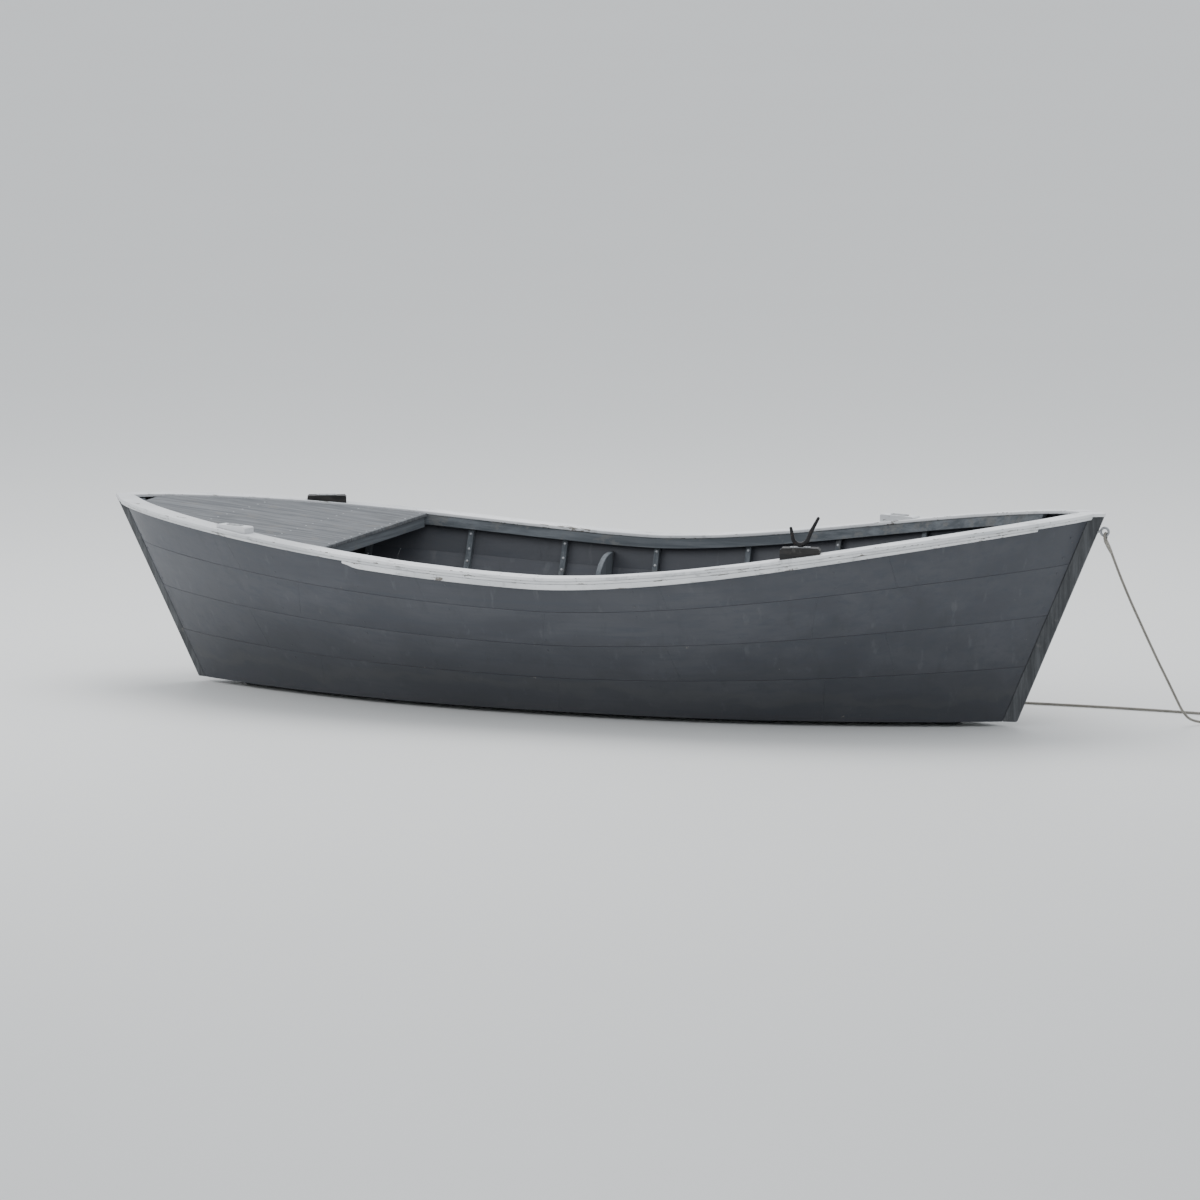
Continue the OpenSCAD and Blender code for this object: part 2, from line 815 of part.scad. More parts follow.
eye_z = mid_height + bow_rise - eye_drop;
bow_rake = (sheer_half_length - bottom_half_length) / (mid_height + bow_rise - shoe_t);
eye_face = bottom_half_length + bow_rake * (eye_z - shoe_t) + bed + bow_cutwater;
eye_x = eye_face + (eye_r + eye_bar_r) * norm([1, bow_rake]) + 6;

module eye_hole() {
    translate([0, 0, eye_z])
        rotate([0, 90, 0])
            cylinder(r = eye_bar_r + 0.1, h = 2 * sheer_half_length, $fn = round_fn);
}

module mooring_eye() {
    bolt_l = eye_x - eye_r - stem_back(1, eye_z) - 3;
    color("gray")
        translate([eye_x, 0, eye_z]) {
            rotate([90, 0, 0])
                rotate_extrude($fn = round_fn)
                    translate([eye_r, 0]) circle(r = eye_bar_r, $fn = 24);
            translate([-eye_r - bolt_l, 0, 0])
                rotate([0, 90, 0])
                    cylinder(r = eye_bar_r, h = bolt_l, $fn = round_fn);
        }
}

rope_r = rope_d / 2;

// Route of the rope's middle line: a free curve down from the eye, each point given by its distance ahead
// of the eye, its distance to port and its height as a share of the eye's
rope_drop = [
    [20, 21, 0.898], [48, 49, 0.778], [80, 81, 0.653], [111, 112, 0.541], [142, 143, 0.431],
    [172, 173, 0.327], [201, 202, 0.231], [225, 226, 0.15], [246, 247, 0.082],
    [268, 269, 0.038], [300, 302, 0.0163]
];
// Then along the ground on the port side of the bow to the coil: distance ahead of the eye, and to port
rope_ground = [
    [338, 342], [368, 375], [388, 412], [392, 454], [378, 494], [348, 526],
    [306, 548], [252, 562], [182, 572], [82, 580], [-38, 586], [-168, 590],
    [-298, 590], [-428, 588], [-548, 584], [-658, 578], [-738, 574], [-786, 573]
];
rope_route = concat(
    [for (p = rope_drop) [eye_x + p.x, p.y, p.z * eye_z]],
    [for (p = rope_ground) [eye_x + p.x, p.y, rope_r]]
);
coil_centre = [eye_x - 838, 500];
coil_r = 70;
coil_turns_wide = 2;
coil_turns_high = 2;
rope_sides = 10;

function curve_point(p, i, u) =
    let (a = p[max(i - 1, 0)], b = p[i], c = p[i + 1], d = p[min(i + 2, len(p) - 1)])
    0.5 * (2 * b + (c - a) * u + (2 * a - 5 * b + 4 * c - d) * u * u + (3 * b - a - 3 * c + d) * u * u * u);
function doubled(p) =
    concat([for (i = [0 : len(p) - 2]) each [p[i], curve_point(p, i, 0.5)]], [p[len(p) - 1]]);

// A ring of points around one point of a path, square to the path
function rope_ring(path, i) =
    let (ahead = path[min(i + 1, len(path) - 1)], behind = path[max(i - 1, 0)])
    let (along = unit(ahead - behind), side = unit(cross([0, 0, 1], along)), up = cross(along, side))
    [
        for (j = [0 : rope_sides - 1])
            let (a = 360 * j / rope_sides)
            path[i] + rope_r * (cos(a) * side + sin(a) * up)
    ];

module painter_rope() {
    path = doubled(rope_route);
    color("tan")
        loft([for (i = [0 : len(path) - 1]) [for (q = rope_ring(path, i)) [q.x, q.y, max(q.z, 0)]]]);
}

// Eye splice: a loop through the mooring eye, and the thicker stretch where the rope is tucked into itself
module painter_splice() {
    loop_r = eye_bar_r + rope_r + 3;
    loop_z = eye_z - eye_r - 3;
    start = rope_route[0];
    top = [eye_x + 3, 0, loop_z - loop_r];
    reach = top - start;
    color("tan") {
        translate([eye_x + 3, 0, loop_z])
            rotate([0, 90, 0])
                rotate_extrude($fn = round_fn)
                    translate([loop_r, 0]) circle(r = rope_r - 1, $fn = 24);
        translate(start)
            rotate([0, acos(reach.z / norm(reach)), atan2(reach.y, reach.x)])
                cylinder(r = rope_r + 2.5, h = norm(reach) + 2, $fn = 24);
    }
}

module painter_coil() {
    w = coil_turns_wide * rope_d;
    h = coil_turns_high * rope_d;
    color("tan")
        translate([coil_centre.x, coil_centre.y, 0])
            rotate_extrude($fn = round_fn)
                translate([coil_r - w / 2, 0]) {
                    translate([0, rope_r]) square([w, h - rope_d]);
                    translate([rope_r, 0]) square([w - rope_d, h]);
                    for (x = [rope_r, w - rope_r], z = [rope_r, h - rope_r])
                        translate([x, z]) circle(r = rope_r, $fn = 24);
                }
}

knot_r = 12;

module painter_knot() {
    inside_r = coil_r - coil_turns_wide * rope_r - knot_r - bed;
    color("tan")
        translate([coil_centre.x + inside_r, coil_centre.y, knot_r])
            sphere(r = knot_r, $fn = round_fn);
}

bottom_plank(1);  // bottom_plank_1
bottom_plank(2);  // bottom_plank_2
bottom_plank(3);  // bottom_plank_3
bottom_plank(4);  // bottom_plank_4
bottom_plank(5);  // bottom_plank_5
strake(1);  // strake_port_1
strake(2);  // strake_port_2
strake(3);  // strake_port_3
strake(4);  // strake_port_4
starboard() strake(1);  // strake_starboard_1
starboard() strake(2);  // strake_starboard_2
starboard() strake(3);  // strake_starboard_3
starboard() strake(4);  // strake_starboard_4
keel_shoe();
bottom_runners();
stem(1);  // stem_bow
stem(-1);  // stem_stern
cutwater(1, bow_cutwater);  // cutwater_bow
cutwater(-1, stern_cutwater);  // cutwater_stern
frame(1);  // frame_1
frame(2);  // frame_2
frame(3);  // frame_3
frame(4);  // frame_4
frame(5);  // frame_5
frame(6);  // frame_6
frame(7);  // frame_7
outwale();  // outwale_port
starboard() outwale();  // outwale_starboard
rubbing_strip();  // rubbing_strip_port
starboard() rubbing_strip();  // rubbing_strip_starboard
inwale();  // inwale_port
starboard() inwale();  // inwale_starboard
cap_rail();  // cap_rail_port
starboard() cap_rail();  // cap_rail_starboard
stem_caps();
breasthook(1);  // breasthook_bow
breasthook(-1);  // breasthook_stern
riser();  // riser_port
starboard() riser();  // riser_starboard
thwart(1);  // thwart_1
thwart(2);  // thwart_2
thwart(3);  // thwart_3
thwart_knees();
stern_deck();
deck_beams();
floorboards();
rowlock_pad(bow_lock_x, pad_h, "gainsboro");  // rowlock_pad_bow_port
starboard() rowlock_pad(bow_lock_x, bow_chock_h, "darkslategray");  // rowlock_pad_bow_starboard
rowlock_pad(stern_lock_x, stern_chock_h, "darkslategray");  // rowlock_pad_stern_port
starboard() rowlock_pad(stern_lock_x, pad_h, "gainsboro");  // rowlock_pad_stern_starboard
rowlock_sockets();
socket_screws();
rowlock();
drain_bung();
mooring_eye();
painter_splice();
painter_rope();
painter_coil();
painter_knot();
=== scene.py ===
"""Double-ended wooden rowing boat: looks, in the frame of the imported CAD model. Units are metres."""

import math

import bpy
import numpy as np
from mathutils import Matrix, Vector
from mathutils.bvhtree import BVHTree


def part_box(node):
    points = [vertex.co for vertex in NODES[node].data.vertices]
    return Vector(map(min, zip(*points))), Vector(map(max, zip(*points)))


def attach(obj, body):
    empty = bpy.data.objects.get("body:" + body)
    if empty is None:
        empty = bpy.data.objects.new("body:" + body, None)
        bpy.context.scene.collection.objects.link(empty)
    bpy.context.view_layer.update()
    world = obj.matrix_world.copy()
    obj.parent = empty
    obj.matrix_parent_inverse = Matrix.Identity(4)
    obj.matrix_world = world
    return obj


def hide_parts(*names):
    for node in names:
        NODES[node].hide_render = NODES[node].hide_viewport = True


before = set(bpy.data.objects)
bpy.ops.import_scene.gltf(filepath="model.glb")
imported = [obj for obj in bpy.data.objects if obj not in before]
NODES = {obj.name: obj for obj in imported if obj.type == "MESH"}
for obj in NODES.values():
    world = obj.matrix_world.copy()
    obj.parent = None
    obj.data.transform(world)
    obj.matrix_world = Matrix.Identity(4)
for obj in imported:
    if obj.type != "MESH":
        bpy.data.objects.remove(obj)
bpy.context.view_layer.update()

# ---- the hull's sizes, as in the CAD source

SHEER_HALF_LENGTH = 2.080
BOTTOM_HALF_LENGTH = 1.720
HALF_BEAM = 0.700
BOTTOM_HALF_WIDTH = 0.400
MID_HEIGHT = 0.590
BOW_RISE = 0.270
STERN_RISE = 0.150
SIDE_BULGE = 0.038
PLANK_T = 0.012
SHOE_T = 0.020
STEM_HALF_W = 0.018
BED = 0.0005
FRAME_PITCH = 0.4
FRAME_XS = [FRAME_PITCH * i for i in range(-3, 4)]
THWART_XS = [-FRAME_PITCH / 2, 1.5 * FRAME_PITCH, 3.5 * FRAME_PITCH]
DECK_PLANKS = 7
FLOORBOARD_PITCH = 0.116
NAIL_SHARES = (0.16, 0.84)   # where a plank's nails are, as shares of its width
TOP_NAIL_SHARE = 0.905       # the uppermost nails sit this far up the side, clear of the outwale
FRAME_HEAD = 0.020
STRAKE_EDGES = [0, 0.27, 0.52, 0.77, 1]
OUTWALE_W = 0.020
OUTWALE_H = 0.012
RUB_H = 0.024
INWALE_W = 0.018
INWALE_H = 0.040
CAP_T = 0.014
CAP_LIP = 0.005
SKIN_GAP = 0.0024
BOW_LOCK_X = 1.080
STERN_LOCK_X = -1.400
LOCK_OFF = 0.026
BOW_CHOCK_H = 0.036
PLATE_T = 0.003
FLOOR_Z = 0.0

ODD_JOINTS = [-1, -0.62, 0, 0.62, 1]
EVEN_JOINTS = [-1, -0.76, -0.3, 0.3, 0.76, 1]
RAIL_JOINTS = [-1, -0.84, -0.5, 0, 0.5, 0.84, 1]
RUB_JOINTS = [-0.48, 0, 0.5, 0.84, 0.95]
INWALE_JOINTS = [-0.93, -0.5, 0, 0.5, 0.92]


def mix(a, b, k):
    return a + (b - a) * k


def unit(v):
    return v / np.linalg.norm(v)


# ---- hull surface: s runs from -1 at the stern to 1 at the bow, t from 0 at the bottom to 1 at the top


def sheer_z(s):
    return MID_HEIGHT + (BOW_RISE if s > 0 else STERN_RISE) * abs(s) ** 1.6


def outer(s, t):
    """A point of the planking's outer face, port side."""
    fullness = max(0.0, 1 - abs(s) ** mix(2.2, 3.4, t)) ** mix(1, 0.7, t)
    section = mix(BOTTOM_HALF_WIDTH, HALF_BEAM, t) + 4 * SIDE_BULGE * t * (1 - t)
    return np.array([
        s * (BOTTOM_HALF_LENGTH + (SHEER_HALF_LENGTH - BOTTOM_HALF_LENGTH) * t * abs(s) ** 3),
        STEM_HALF_W + (section - STEM_HALF_W) * fullness,
        mix(SHOE_T, sheer_z(s), t),
    ])


def inward(s, t):
    """The direction into the boat, square to the planking."""
    along = outer(min(s + 0.01, 1), t) - outer(max(s - 0.01, -1), t)
    up = outer(s, min(t + 0.02, 1)) - outer(s, max(t - 0.02, 0))
    return unit(np.cross(along, up))


def inside(s, t, depth):
    """A point under the outer face by depth, moved level."""
    n = inward(s, t)
    level = np.array([n[0], n[1], 0])
    return outer(s, t) + level * depth / level.dot(level)


def inboard(s, t, off):
    """A point off inboard of the outer face, measured level."""
    n = inward(s, t)
    return outer(s, t) + unit(np.array([n[0], n[1], 0])) * off


def below_top(s, drop):
    return 1 - drop / (sheer_z(s) - SHOE_T)


def share_at(x, t=1.0):
    """The s of the point at x on the line of constant t."""
    low, high = -1.0, 1.0
    for _ in range(40):
        middle = (low + high) / 2
        low, high = (middle, high) if outer(middle, t)[0] < x else (low, middle)
    return low


# ---- making meshes


def new_object(name, points, faces, body):
    mesh = bpy.data.meshes.new(name)
    mesh.from_pydata([tuple(float(c) for c in p) for p in points], [], faces)
    mesh.validate()
    mesh.polygons.foreach_set("use_smooth", [True] * len(mesh.polygons))
    mesh.update()
    obj = bpy.data.objects.new(name, mesh)
    bpy.context.scene.collection.objects.link(obj)
    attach(obj, body)
    return obj


def mirrored(points):
    return [np.array([p[0], -p[1], p[2]]) for p in points]


class Shells:
    """Collects closed lofts and lathed bits into one mesh, with one number for each point."""

    def __init__(self):
        self.points, self.faces, self.wear, self.caps = [], [], [], []

    def loft(self, rings, wear=None, closed=False):
        n, m, start = len(rings[0]), len(rings), len(self.points)
        for i, ring in enumerate(rings):
            self.points.extend(ring)
            self.wear.extend(wear[i] if wear is not None else [0.0] * n)
        spans = m if closed else m - 1
        for i in range(spans):
            for j in range(n):
                k, up = (j + 1) % n, ((i + 1) % m) * n
                here = i * n
                self.faces.append((start + here + j, start + here + k, start + up + k, start + up + j))
        if not closed:
            last = start + (m - 1) * n
            ends = [tuple(start + j for j in reversed(range(n))), tuple(last + j for j in range(n))]
            self.faces += ends
            self.caps += ends

    def build(self, name, body="hull", starboard=False):
        points = mirrored(self.points) if starboard else self.points
        faces = [f[::-1] for f in self.faces] if starboard else self.faces
        obj = new_object(name, points, faces, body)
        tone = obj.data.attributes.new("wear", "FLOAT", "POINT")
        tone.data.foreach_set("value", [float(w) for w in self.wear])
        rims = {frozenset(pair) for cap in self.caps for pair in zip(cap, cap[1:] + cap[:1])}
        sharp = obj.data.attributes.new("sharp_edge", "BOOLEAN", "EDGE")
        sharp.data.foreach_set("value", [frozenset(edge.vertices) in rims for edge in obj.data.edges])
        normals = obj.modifiers.new("normals", "WEIGHTED_NORMAL")
        normals.keep_sharp = True
        return obj


def rounded(corners, radius, steps=3):
    """A ring through corners with each corner rounded; also how worn each point is, 1 in a corner."""
    ring, wear = [], []
    n = len(corners)
    for i in range(n):
        here, before, after = corners[i], corners[i - 1], corners[(i + 1) % n]
        a = here + unit(before - here) * min(radius, np.linalg.norm(before - here) * 0.45)
        b = here + unit(after - here) * min(radius, np.linalg.norm(after - here) * 0.45)
        for j in range(steps + 1):
            k = j / steps
            ring.append((1 - k) ** 2 * a + 2 * k * (1 - k) * here + k * k * b)
            wear.append(1 - abs(2 * k - 1) * 0.7)
    return ring, wear


def lengths(shells, joints, ring_at, tilt=0.0, gap=0.00012, pitch=0.012):
    """Lofts one piece for each length between joints; tilt slants the scarfs across the piece."""
    for a, b in zip(joints, joints[1:]):
        lean_a = tilt if a > joints[0] else 0.0
        lean_b = tilt if b < joints[-1] else 0.0
        start = a + (gap if a > joints[0] else 0.0)
        end = b - (gap if b < joints[-1] else 0.0)
        count = max(6, round((b - a) / pitch))
        rings, wear = [], []
        for i in range(count + 1):
            v = i / count
            ring, worn = ring_at(lambda k: mix(start + lean_a * (k - 0.5), end + lean_b * (k - 0.5), v))
            near_end = max(0.0, 1 - 12 * min(v, 1 - v) * (b - a))
            rings.append(ring)
            wear.append([max(w, 0.3 * near_end) for w in worn])
        shells.loft(rings, wear)


# ---- camera, before the cords


def make_camera(azimuth=21.0, elevation=8.0, distance=45.0):
    data = bpy.data.cameras.new("camera")
    data.lens = 335
    data.sensor_width = 36
    data.clip_end = 200
    cam = bpy.data.objects.new("camera", data)
    bpy.context.scene.collection.objects.link(cam)
    bpy.context.scene.camera = cam
    a, e = math.radians(azimuth), math.radians(elevation)
    back = Vector((math.sin(a) * math.cos(e), -math.cos(a) * math.cos(e), math.sin(e)))
    target = Vector((0.0, 0.0, 0.42))
    cam.location = target + back * distance
    cam.rotation_mode = "QUATERNION"
    cam.rotation_quaternion = (-back).to_track_quat("-Z", "Y")


make_camera()

# ---- the painter

ROPE_D = 0.012
EYE = (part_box("mooring_eye")[0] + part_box("mooring_eye")[1]) / 2
EYE_R = 0.016
EYE_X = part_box("mooring_eye")[1].x - EYE_R - 0.005
EYE_Z = EYE.z

# The route's points as in the CAD source: ahead of the eye, to port, and height as a share of the eye's
ROPE_DROP = [
    (0.020, 0.021, 0.898), (0.048, 0.049, 0.778), (0.080, 0.081, 0.653), (0.111, 0.112, 0.541),
    (0.142, 0.143, 0.431), (0.172, 0.173, 0.327), (0.201, 0.202, 0.231), (0.225, 0.226, 0.150),
    (0.246, 0.247, 0.082), (0.268, 0.269, 0.038), (0.300, 0.302, 0.0163),
]
# Then along the ground: ahead of the eye, and to port
ROPE_GROUND = [
    (0.338, 0.342), (0.368, 0.375), (0.388, 0.412), (0.392, 0.454), (0.378, 0.494), (0.348, 0.526),
    (0.306, 0.548), (0.252, 0.562), (0.182, 0.572), (0.082, 0.580), (-0.038, 0.586), (-0.168, 0.590),
    (-0.298, 0.590), (-0.428, 0.588), (-0.548, 0.584), (-0.658, 0.578), (-0.738, 0.574), (-0.786, 0.573),
]
ROPE_ROUTE = [np.array([EYE_X + x, y, z * EYE_Z]) for x, y, z in ROPE_DROP]
ROPE_ROUTE += [np.array([EYE_X + x, y, ROPE_D / 2]) for x, y in ROPE_GROUND]
COIL_CENTRE = np.array([EYE_X - 0.838, 0.500])
COIL_INNER, COIL_OUTER = 0.064, 0.076
LAYER_LOW, LAYER_HIGH = ROPE_D / 2, ROPE_D * 1.5
GROOVE = 0.66   # how deep the grooves between strands go, as a share of the rope's radius


def ease(k):
    k = min(max(k, 0.0), 1.0)
    return k * k * (3 - 2 * k)


def coil_points(step=10):
    """The coil's turns: outside low, outside high, inside high, inside low, then in to the knot."""
    points = []
    for angle in range(90 + step, 1441, step):
        r = COIL_OUTER - (COIL_OUTER - COIL_INNER) * ease((angle - 710) / 35)
        z = mix(LAYER_LOW, LAYER_HIGH, ease((angle - 390) / 35) - ease((angle - 1030) / 35))
        into = 1 - (1 - min(max((angle - 1350) / 90, 0.0), 1.0)) ** 2
        r = mix(r, 0.0485, into)
        z = mix(z, 0.012, into)
        a = math.radians(angle)
        points.append(np.array([COIL_CENTRE[0] + r * math.cos(a), COIL_CENTRE[1] + r * math.sin(a), z]))
    return points


def smooth_line(points, step):
    """Points about step apart on a Catmull-Rom curve through the given ones."""
    line = []
    last = len(points) - 1
    for i in range(last):
        a, b, c, d = points[max(i - 1, 0)], points[i], points[i + 1], points[min(i + 2, last)]
        count = max(1, round(np.linalg.norm(c - b) / step))
        for j in range(count):
            u = j / count
            line.append(0.5 * (
                2 * b + (c - a) * u + (2 * a - 5 * b + 4 * c - d) * u * u
                + (3 * b - a - 3 * c + d) * u ** 3
            ))
    line.append(points[-1])
    return line


def strand_radius(angle, radius, lobes=3):
    """How far the surface of a laid rope is from its middle, at an angle from a strand's middle."""
    strand = radius / (1 + 1 / math.sin(math.pi / lobes))
    middle = radius - strand
    a = (angle + math.pi / lobes) % (2 * math.pi / lobes) - math.pi / lobes
    inside_root = max(strand ** 2 - (middle * math.sin(a)) ** 2, 0.0)
    return max(middle * math.cos(a) + math.sqrt(inside_root), radius * GROOVE)


def rope_rings(line, radius, sides=18, lay=3.2, closed=False):
    """Rings of a laid rope along a line, turned by the lay, and how deep in a groove each point is."""
    rings, wear = [], []
    side = None
    run = 0.0
    n = len(line)
    for i in range(n):
        ahead = line[(i + 1) % n] if closed else line[min(i + 1, n - 1)]
        behind = line[i - 1] if closed or i > 0 else line[0]
        along = unit(ahead - behind)
        if side is None:
            side = unit(np.cross(along, [0.31, 0.17, 0.93]))
        side = unit(side - along * side.dot(along))
        up = np.cross(along, side)
        if i > 0:
            run += np.linalg.norm(line[i] - line[i - 1])
        twist = run / (lay * 2 * radius) * 2 * math.pi
        ring, deep = [], []
        for j in range(sides):
            a = 2 * math.pi * j / sides + twist
            r = strand_radius(a - twist * 2, radius)
            ring.append(line[i] + r * (math.cos(a) * side + math.sin(a) * up))
            deep.append(1 - (r / radius - GROOVE) / (1 - GROOVE))
        rings.append(ring)
        wear.append(deep)
    return rings, wear


def make_painter():
    line = smooth_line(ROPE_ROUTE + coil_points(), 0.0022)
    rings, wear = rope_rings(line, ROPE_D / 2)
    for ring in rings:
        for p in ring:
            p[2] = max(p[2], FLOOR_Z)
    shells = Shells()
    shells.loft(rings, wear)
    rope = shells.build("painter")
    rope.modifiers.clear()
    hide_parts("painter_rope", "painter_coil")
    return rope, line


def make_knot(end):
    """A crown knot: three strands wound round the rope's end."""
    shells = Shells()
    core = np.array([end[0] - 0.003, end[1], 0.0128])
    for turn in range(3):
        a = math.radians(60 * turn)
        axis_x = np.array([math.cos(a), math.sin(a), 0.0])
        lift = np.array([0.0, 0.0, 1.0])
        loop = [
            core + 0.0082 * (math.cos(k) * axis_x + math.sin(k) * lift)
            + 0.0018 * math.sin(3 * k) * np.cross(axis_x, lift)
            for k in np.linspace(0, 2 * math.pi, 40, endpoint=False)
        ]
        rings, wear = rope_rings(loop, 0.0043, sides=12, closed=True)
        shells.loft(rings, wear, closed=True)
    knot = shells.build("painter_crown_knot")
    knot.modifiers.clear()
    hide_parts("painter_knot")
    return knot


def make_splice():
    """The eye splice: a loop through the mooring eye and the tapered stretch of tucks below it."""
    shells = Shells()
    loop_r = 0.014
    loop_z = EYE_Z - EYE_R - 0.003
    centre = np.array([EYE_X + 0.003, 0.0, loop_z])
    loop = [
        centre + loop_r * np.array([0.0, math.cos(k), math.sin(k)])
        for k in np.linspace(0, 2 * math.pi, 60, endpoint=False)
    ]
    rings, wear = rope_rings(loop, 0.0054, closed=True)
    shells.loft(rings, wear, closed=True)
    start = centre - np.array([0, 0, loop_r])
    end = ROPE_ROUTE[0] + unit(ROPE_ROUTE[1] - ROPE_ROUTE[0]) * 0.004
    count = 56
    reach = np.linalg.norm(end - start)
    axis = unit(end - start)
    side = unit(np.cross(axis, [0, 1, 0]))
    up = np.cross(axis, side)
    tucks, deep = [], []
    for i in range(count + 1):
        k = i / count
        size = 0.0088 - 0.0022 * ease((k - 0.45) / 0.55)
        ring, dark = [], []
        for j in range(24):
            a = 2 * math.pi * j / 24
            weave = max(abs(math.cos(1.5 * a - 11 * k)), abs(math.cos(1.5 * a + 11 * k)))
            r = size * (0.76 + 0.24 * weave ** 2)
            ring.append(start + axis * reach * k + r * (math.cos(a) * side + math.sin(a) * up))
            dark.append(1 - weave)
        tucks.append(ring)
        deep.append(dark)
    shells.loft(tucks, deep)
    splice = shells.build("painter_eye_splice")
    splice.modifiers.clear()
    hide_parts("painter_splice")
    return splice


painter, painter_line = make_painter()
knot = make_knot(painter_line[-1])
splice = make_splice()
PAINTER_LENGTH = sum(np.linalg.norm(b - a) for a, b in zip(painter_line, painter_line[1:]))
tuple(ROPE_ROUTE[0])

# ---- materials: every one is worked out from the object's own coordinates


class Shader:
    """A material's node tree, with short calls for the nodes that it uses."""

    def __init__(self, name, seed=0):
        self.material = bpy.data.materials.new(name)
        self.material.use_nodes = True
        self.tree = self.material.node_tree
        self.bsdf = self.tree.nodes["Principled BSDF"]
        self.coords = self.add("ShaderNodeTexCoord").outputs["Object"]
        self.seed = seed
        self.height = None

    def add(self, kind, **settings):
        node = self.tree.nodes.new(kind)
        for key, value in settings.items():
            setattr(node, key, value)
        return node

    def put(self, socket, value):
        if isinstance(value, bpy.types.NodeSocket):
            self.tree.links.new(value, socket)
        elif isinstance(value, (tuple, list)) and len(value) == 3 and socket.type == "RGBA":
            socket.default_value = (*value, 1.0)
        else:
            socket.default_value = value

    def noise(self, scale, stretch=(1, 1, 1), detail=4.0, rough=0.55, warp=0.0, shift=0.0):
        place = self.add("ShaderNodeMapping")
        self.put(place.inputs["Vector"], self.coords)
        place.inputs["Location"].default_value = (
            self.seed * 3.7 + shift, self.seed * 1.9, self.seed * 2.3 - shift
        )
        place.inputs["Scale"].default_value = stretch
        node = self.add("ShaderNodeTexNoise")
        self.put(node.inputs["Vector"], place.outputs["Vector"])
        for key, value in (("Scale", scale), ("Detail", detail), ("Roughness", rough), ("Distortion", warp)):
            node.inputs[key].default_value = value
        return node.outputs["Fac"]

    def cells(self, scale):
        node = self.add("ShaderNodeTexVoronoi")
        self.put(node.inputs["Vector"], self.coords)
        node.inputs["Scale"].default_value = scale
        return node.outputs["Color"]

    def level(self, value, low, high, out_low=0.0, out_high=1.0):
        """value from low..high to out_low..out_high, smoothly and held at the ends."""
        node = self.add("ShaderNodeMapRange", interpolation_type="SMOOTHSTEP")
        self.put(node.inputs["Value"], value)
        for key, number in (("From Min", low), ("From Max", high), ("To Min", out_low), ("To Max", out_high)):
            node.inputs[key].default_value = number
        return node.outputs["Result"]

    def calc(self, operation, a, b=0.0):
        node = self.add("ShaderNodeMath", operation=operation)
        self.put(node.inputs[0], a)
        self.put(node.inputs[1], b)
        return node.outputs[0]

    def blend(self, amount, a, b):
        node = self.add("ShaderNodeMix", data_type="RGBA")
        self.put(node.inputs[0], amount)
        self.put(node.inputs[6], a)
        self.put(node.inputs[7], b)
        return node.outputs[2]

    def axis(self, letter):
        node = self.add("ShaderNodeSeparateXYZ")
        self.put(node.inputs[0], self.coords)
        return node.outputs[letter]

    def worn(self):
        return self.add("ShaderNodeAttribute", attribute_name="wear").outputs["Fac"]

    def bump(self, height, distance, strength=1.0):
        node = self.add("ShaderNodeBump")
        node.inputs["Strength"].default_value = strength
        node.inputs["Distance"].default_value = distance
        self.put(node.inputs["Height"], height)
        if self.height is not None:
            self.put(node.inputs["Normal"], self.height)
        self.height = node.outputs["Normal"]

    def finish(self, colour, roughness, metallic=0.0, specular=0.5, sheen=0.0):
        self.put(self.bsdf.inputs["Base Color"], colour)
        self.put(self.bsdf.inputs["Roughness"], roughness)
        self.put(self.bsdf.inputs["Metallic"], metallic)
        self.bsdf.inputs["Specular IOR Level"].default_value = specular
        self.bsdf.inputs["Sheen Weight"].default_value = sheen
        if self.height is not None:
            self.put(self.bsdf.inputs["Normal"], self.height)
        return self.material


GRAIN = {"X": (0.035, 1, 1), "Y": (1, 0.035, 1), "Z": (1, 1, 0.035)}
made_materials = {}


def made_once(build):
    """Keeps each material that build makes, so pieces with the same settings share it."""

    def get(*settings):
        key = (build.__name__, *settings)
        if key not in made_materials:
            made_materials[key] = build(*settings)
        return made_materials[key]

    return get


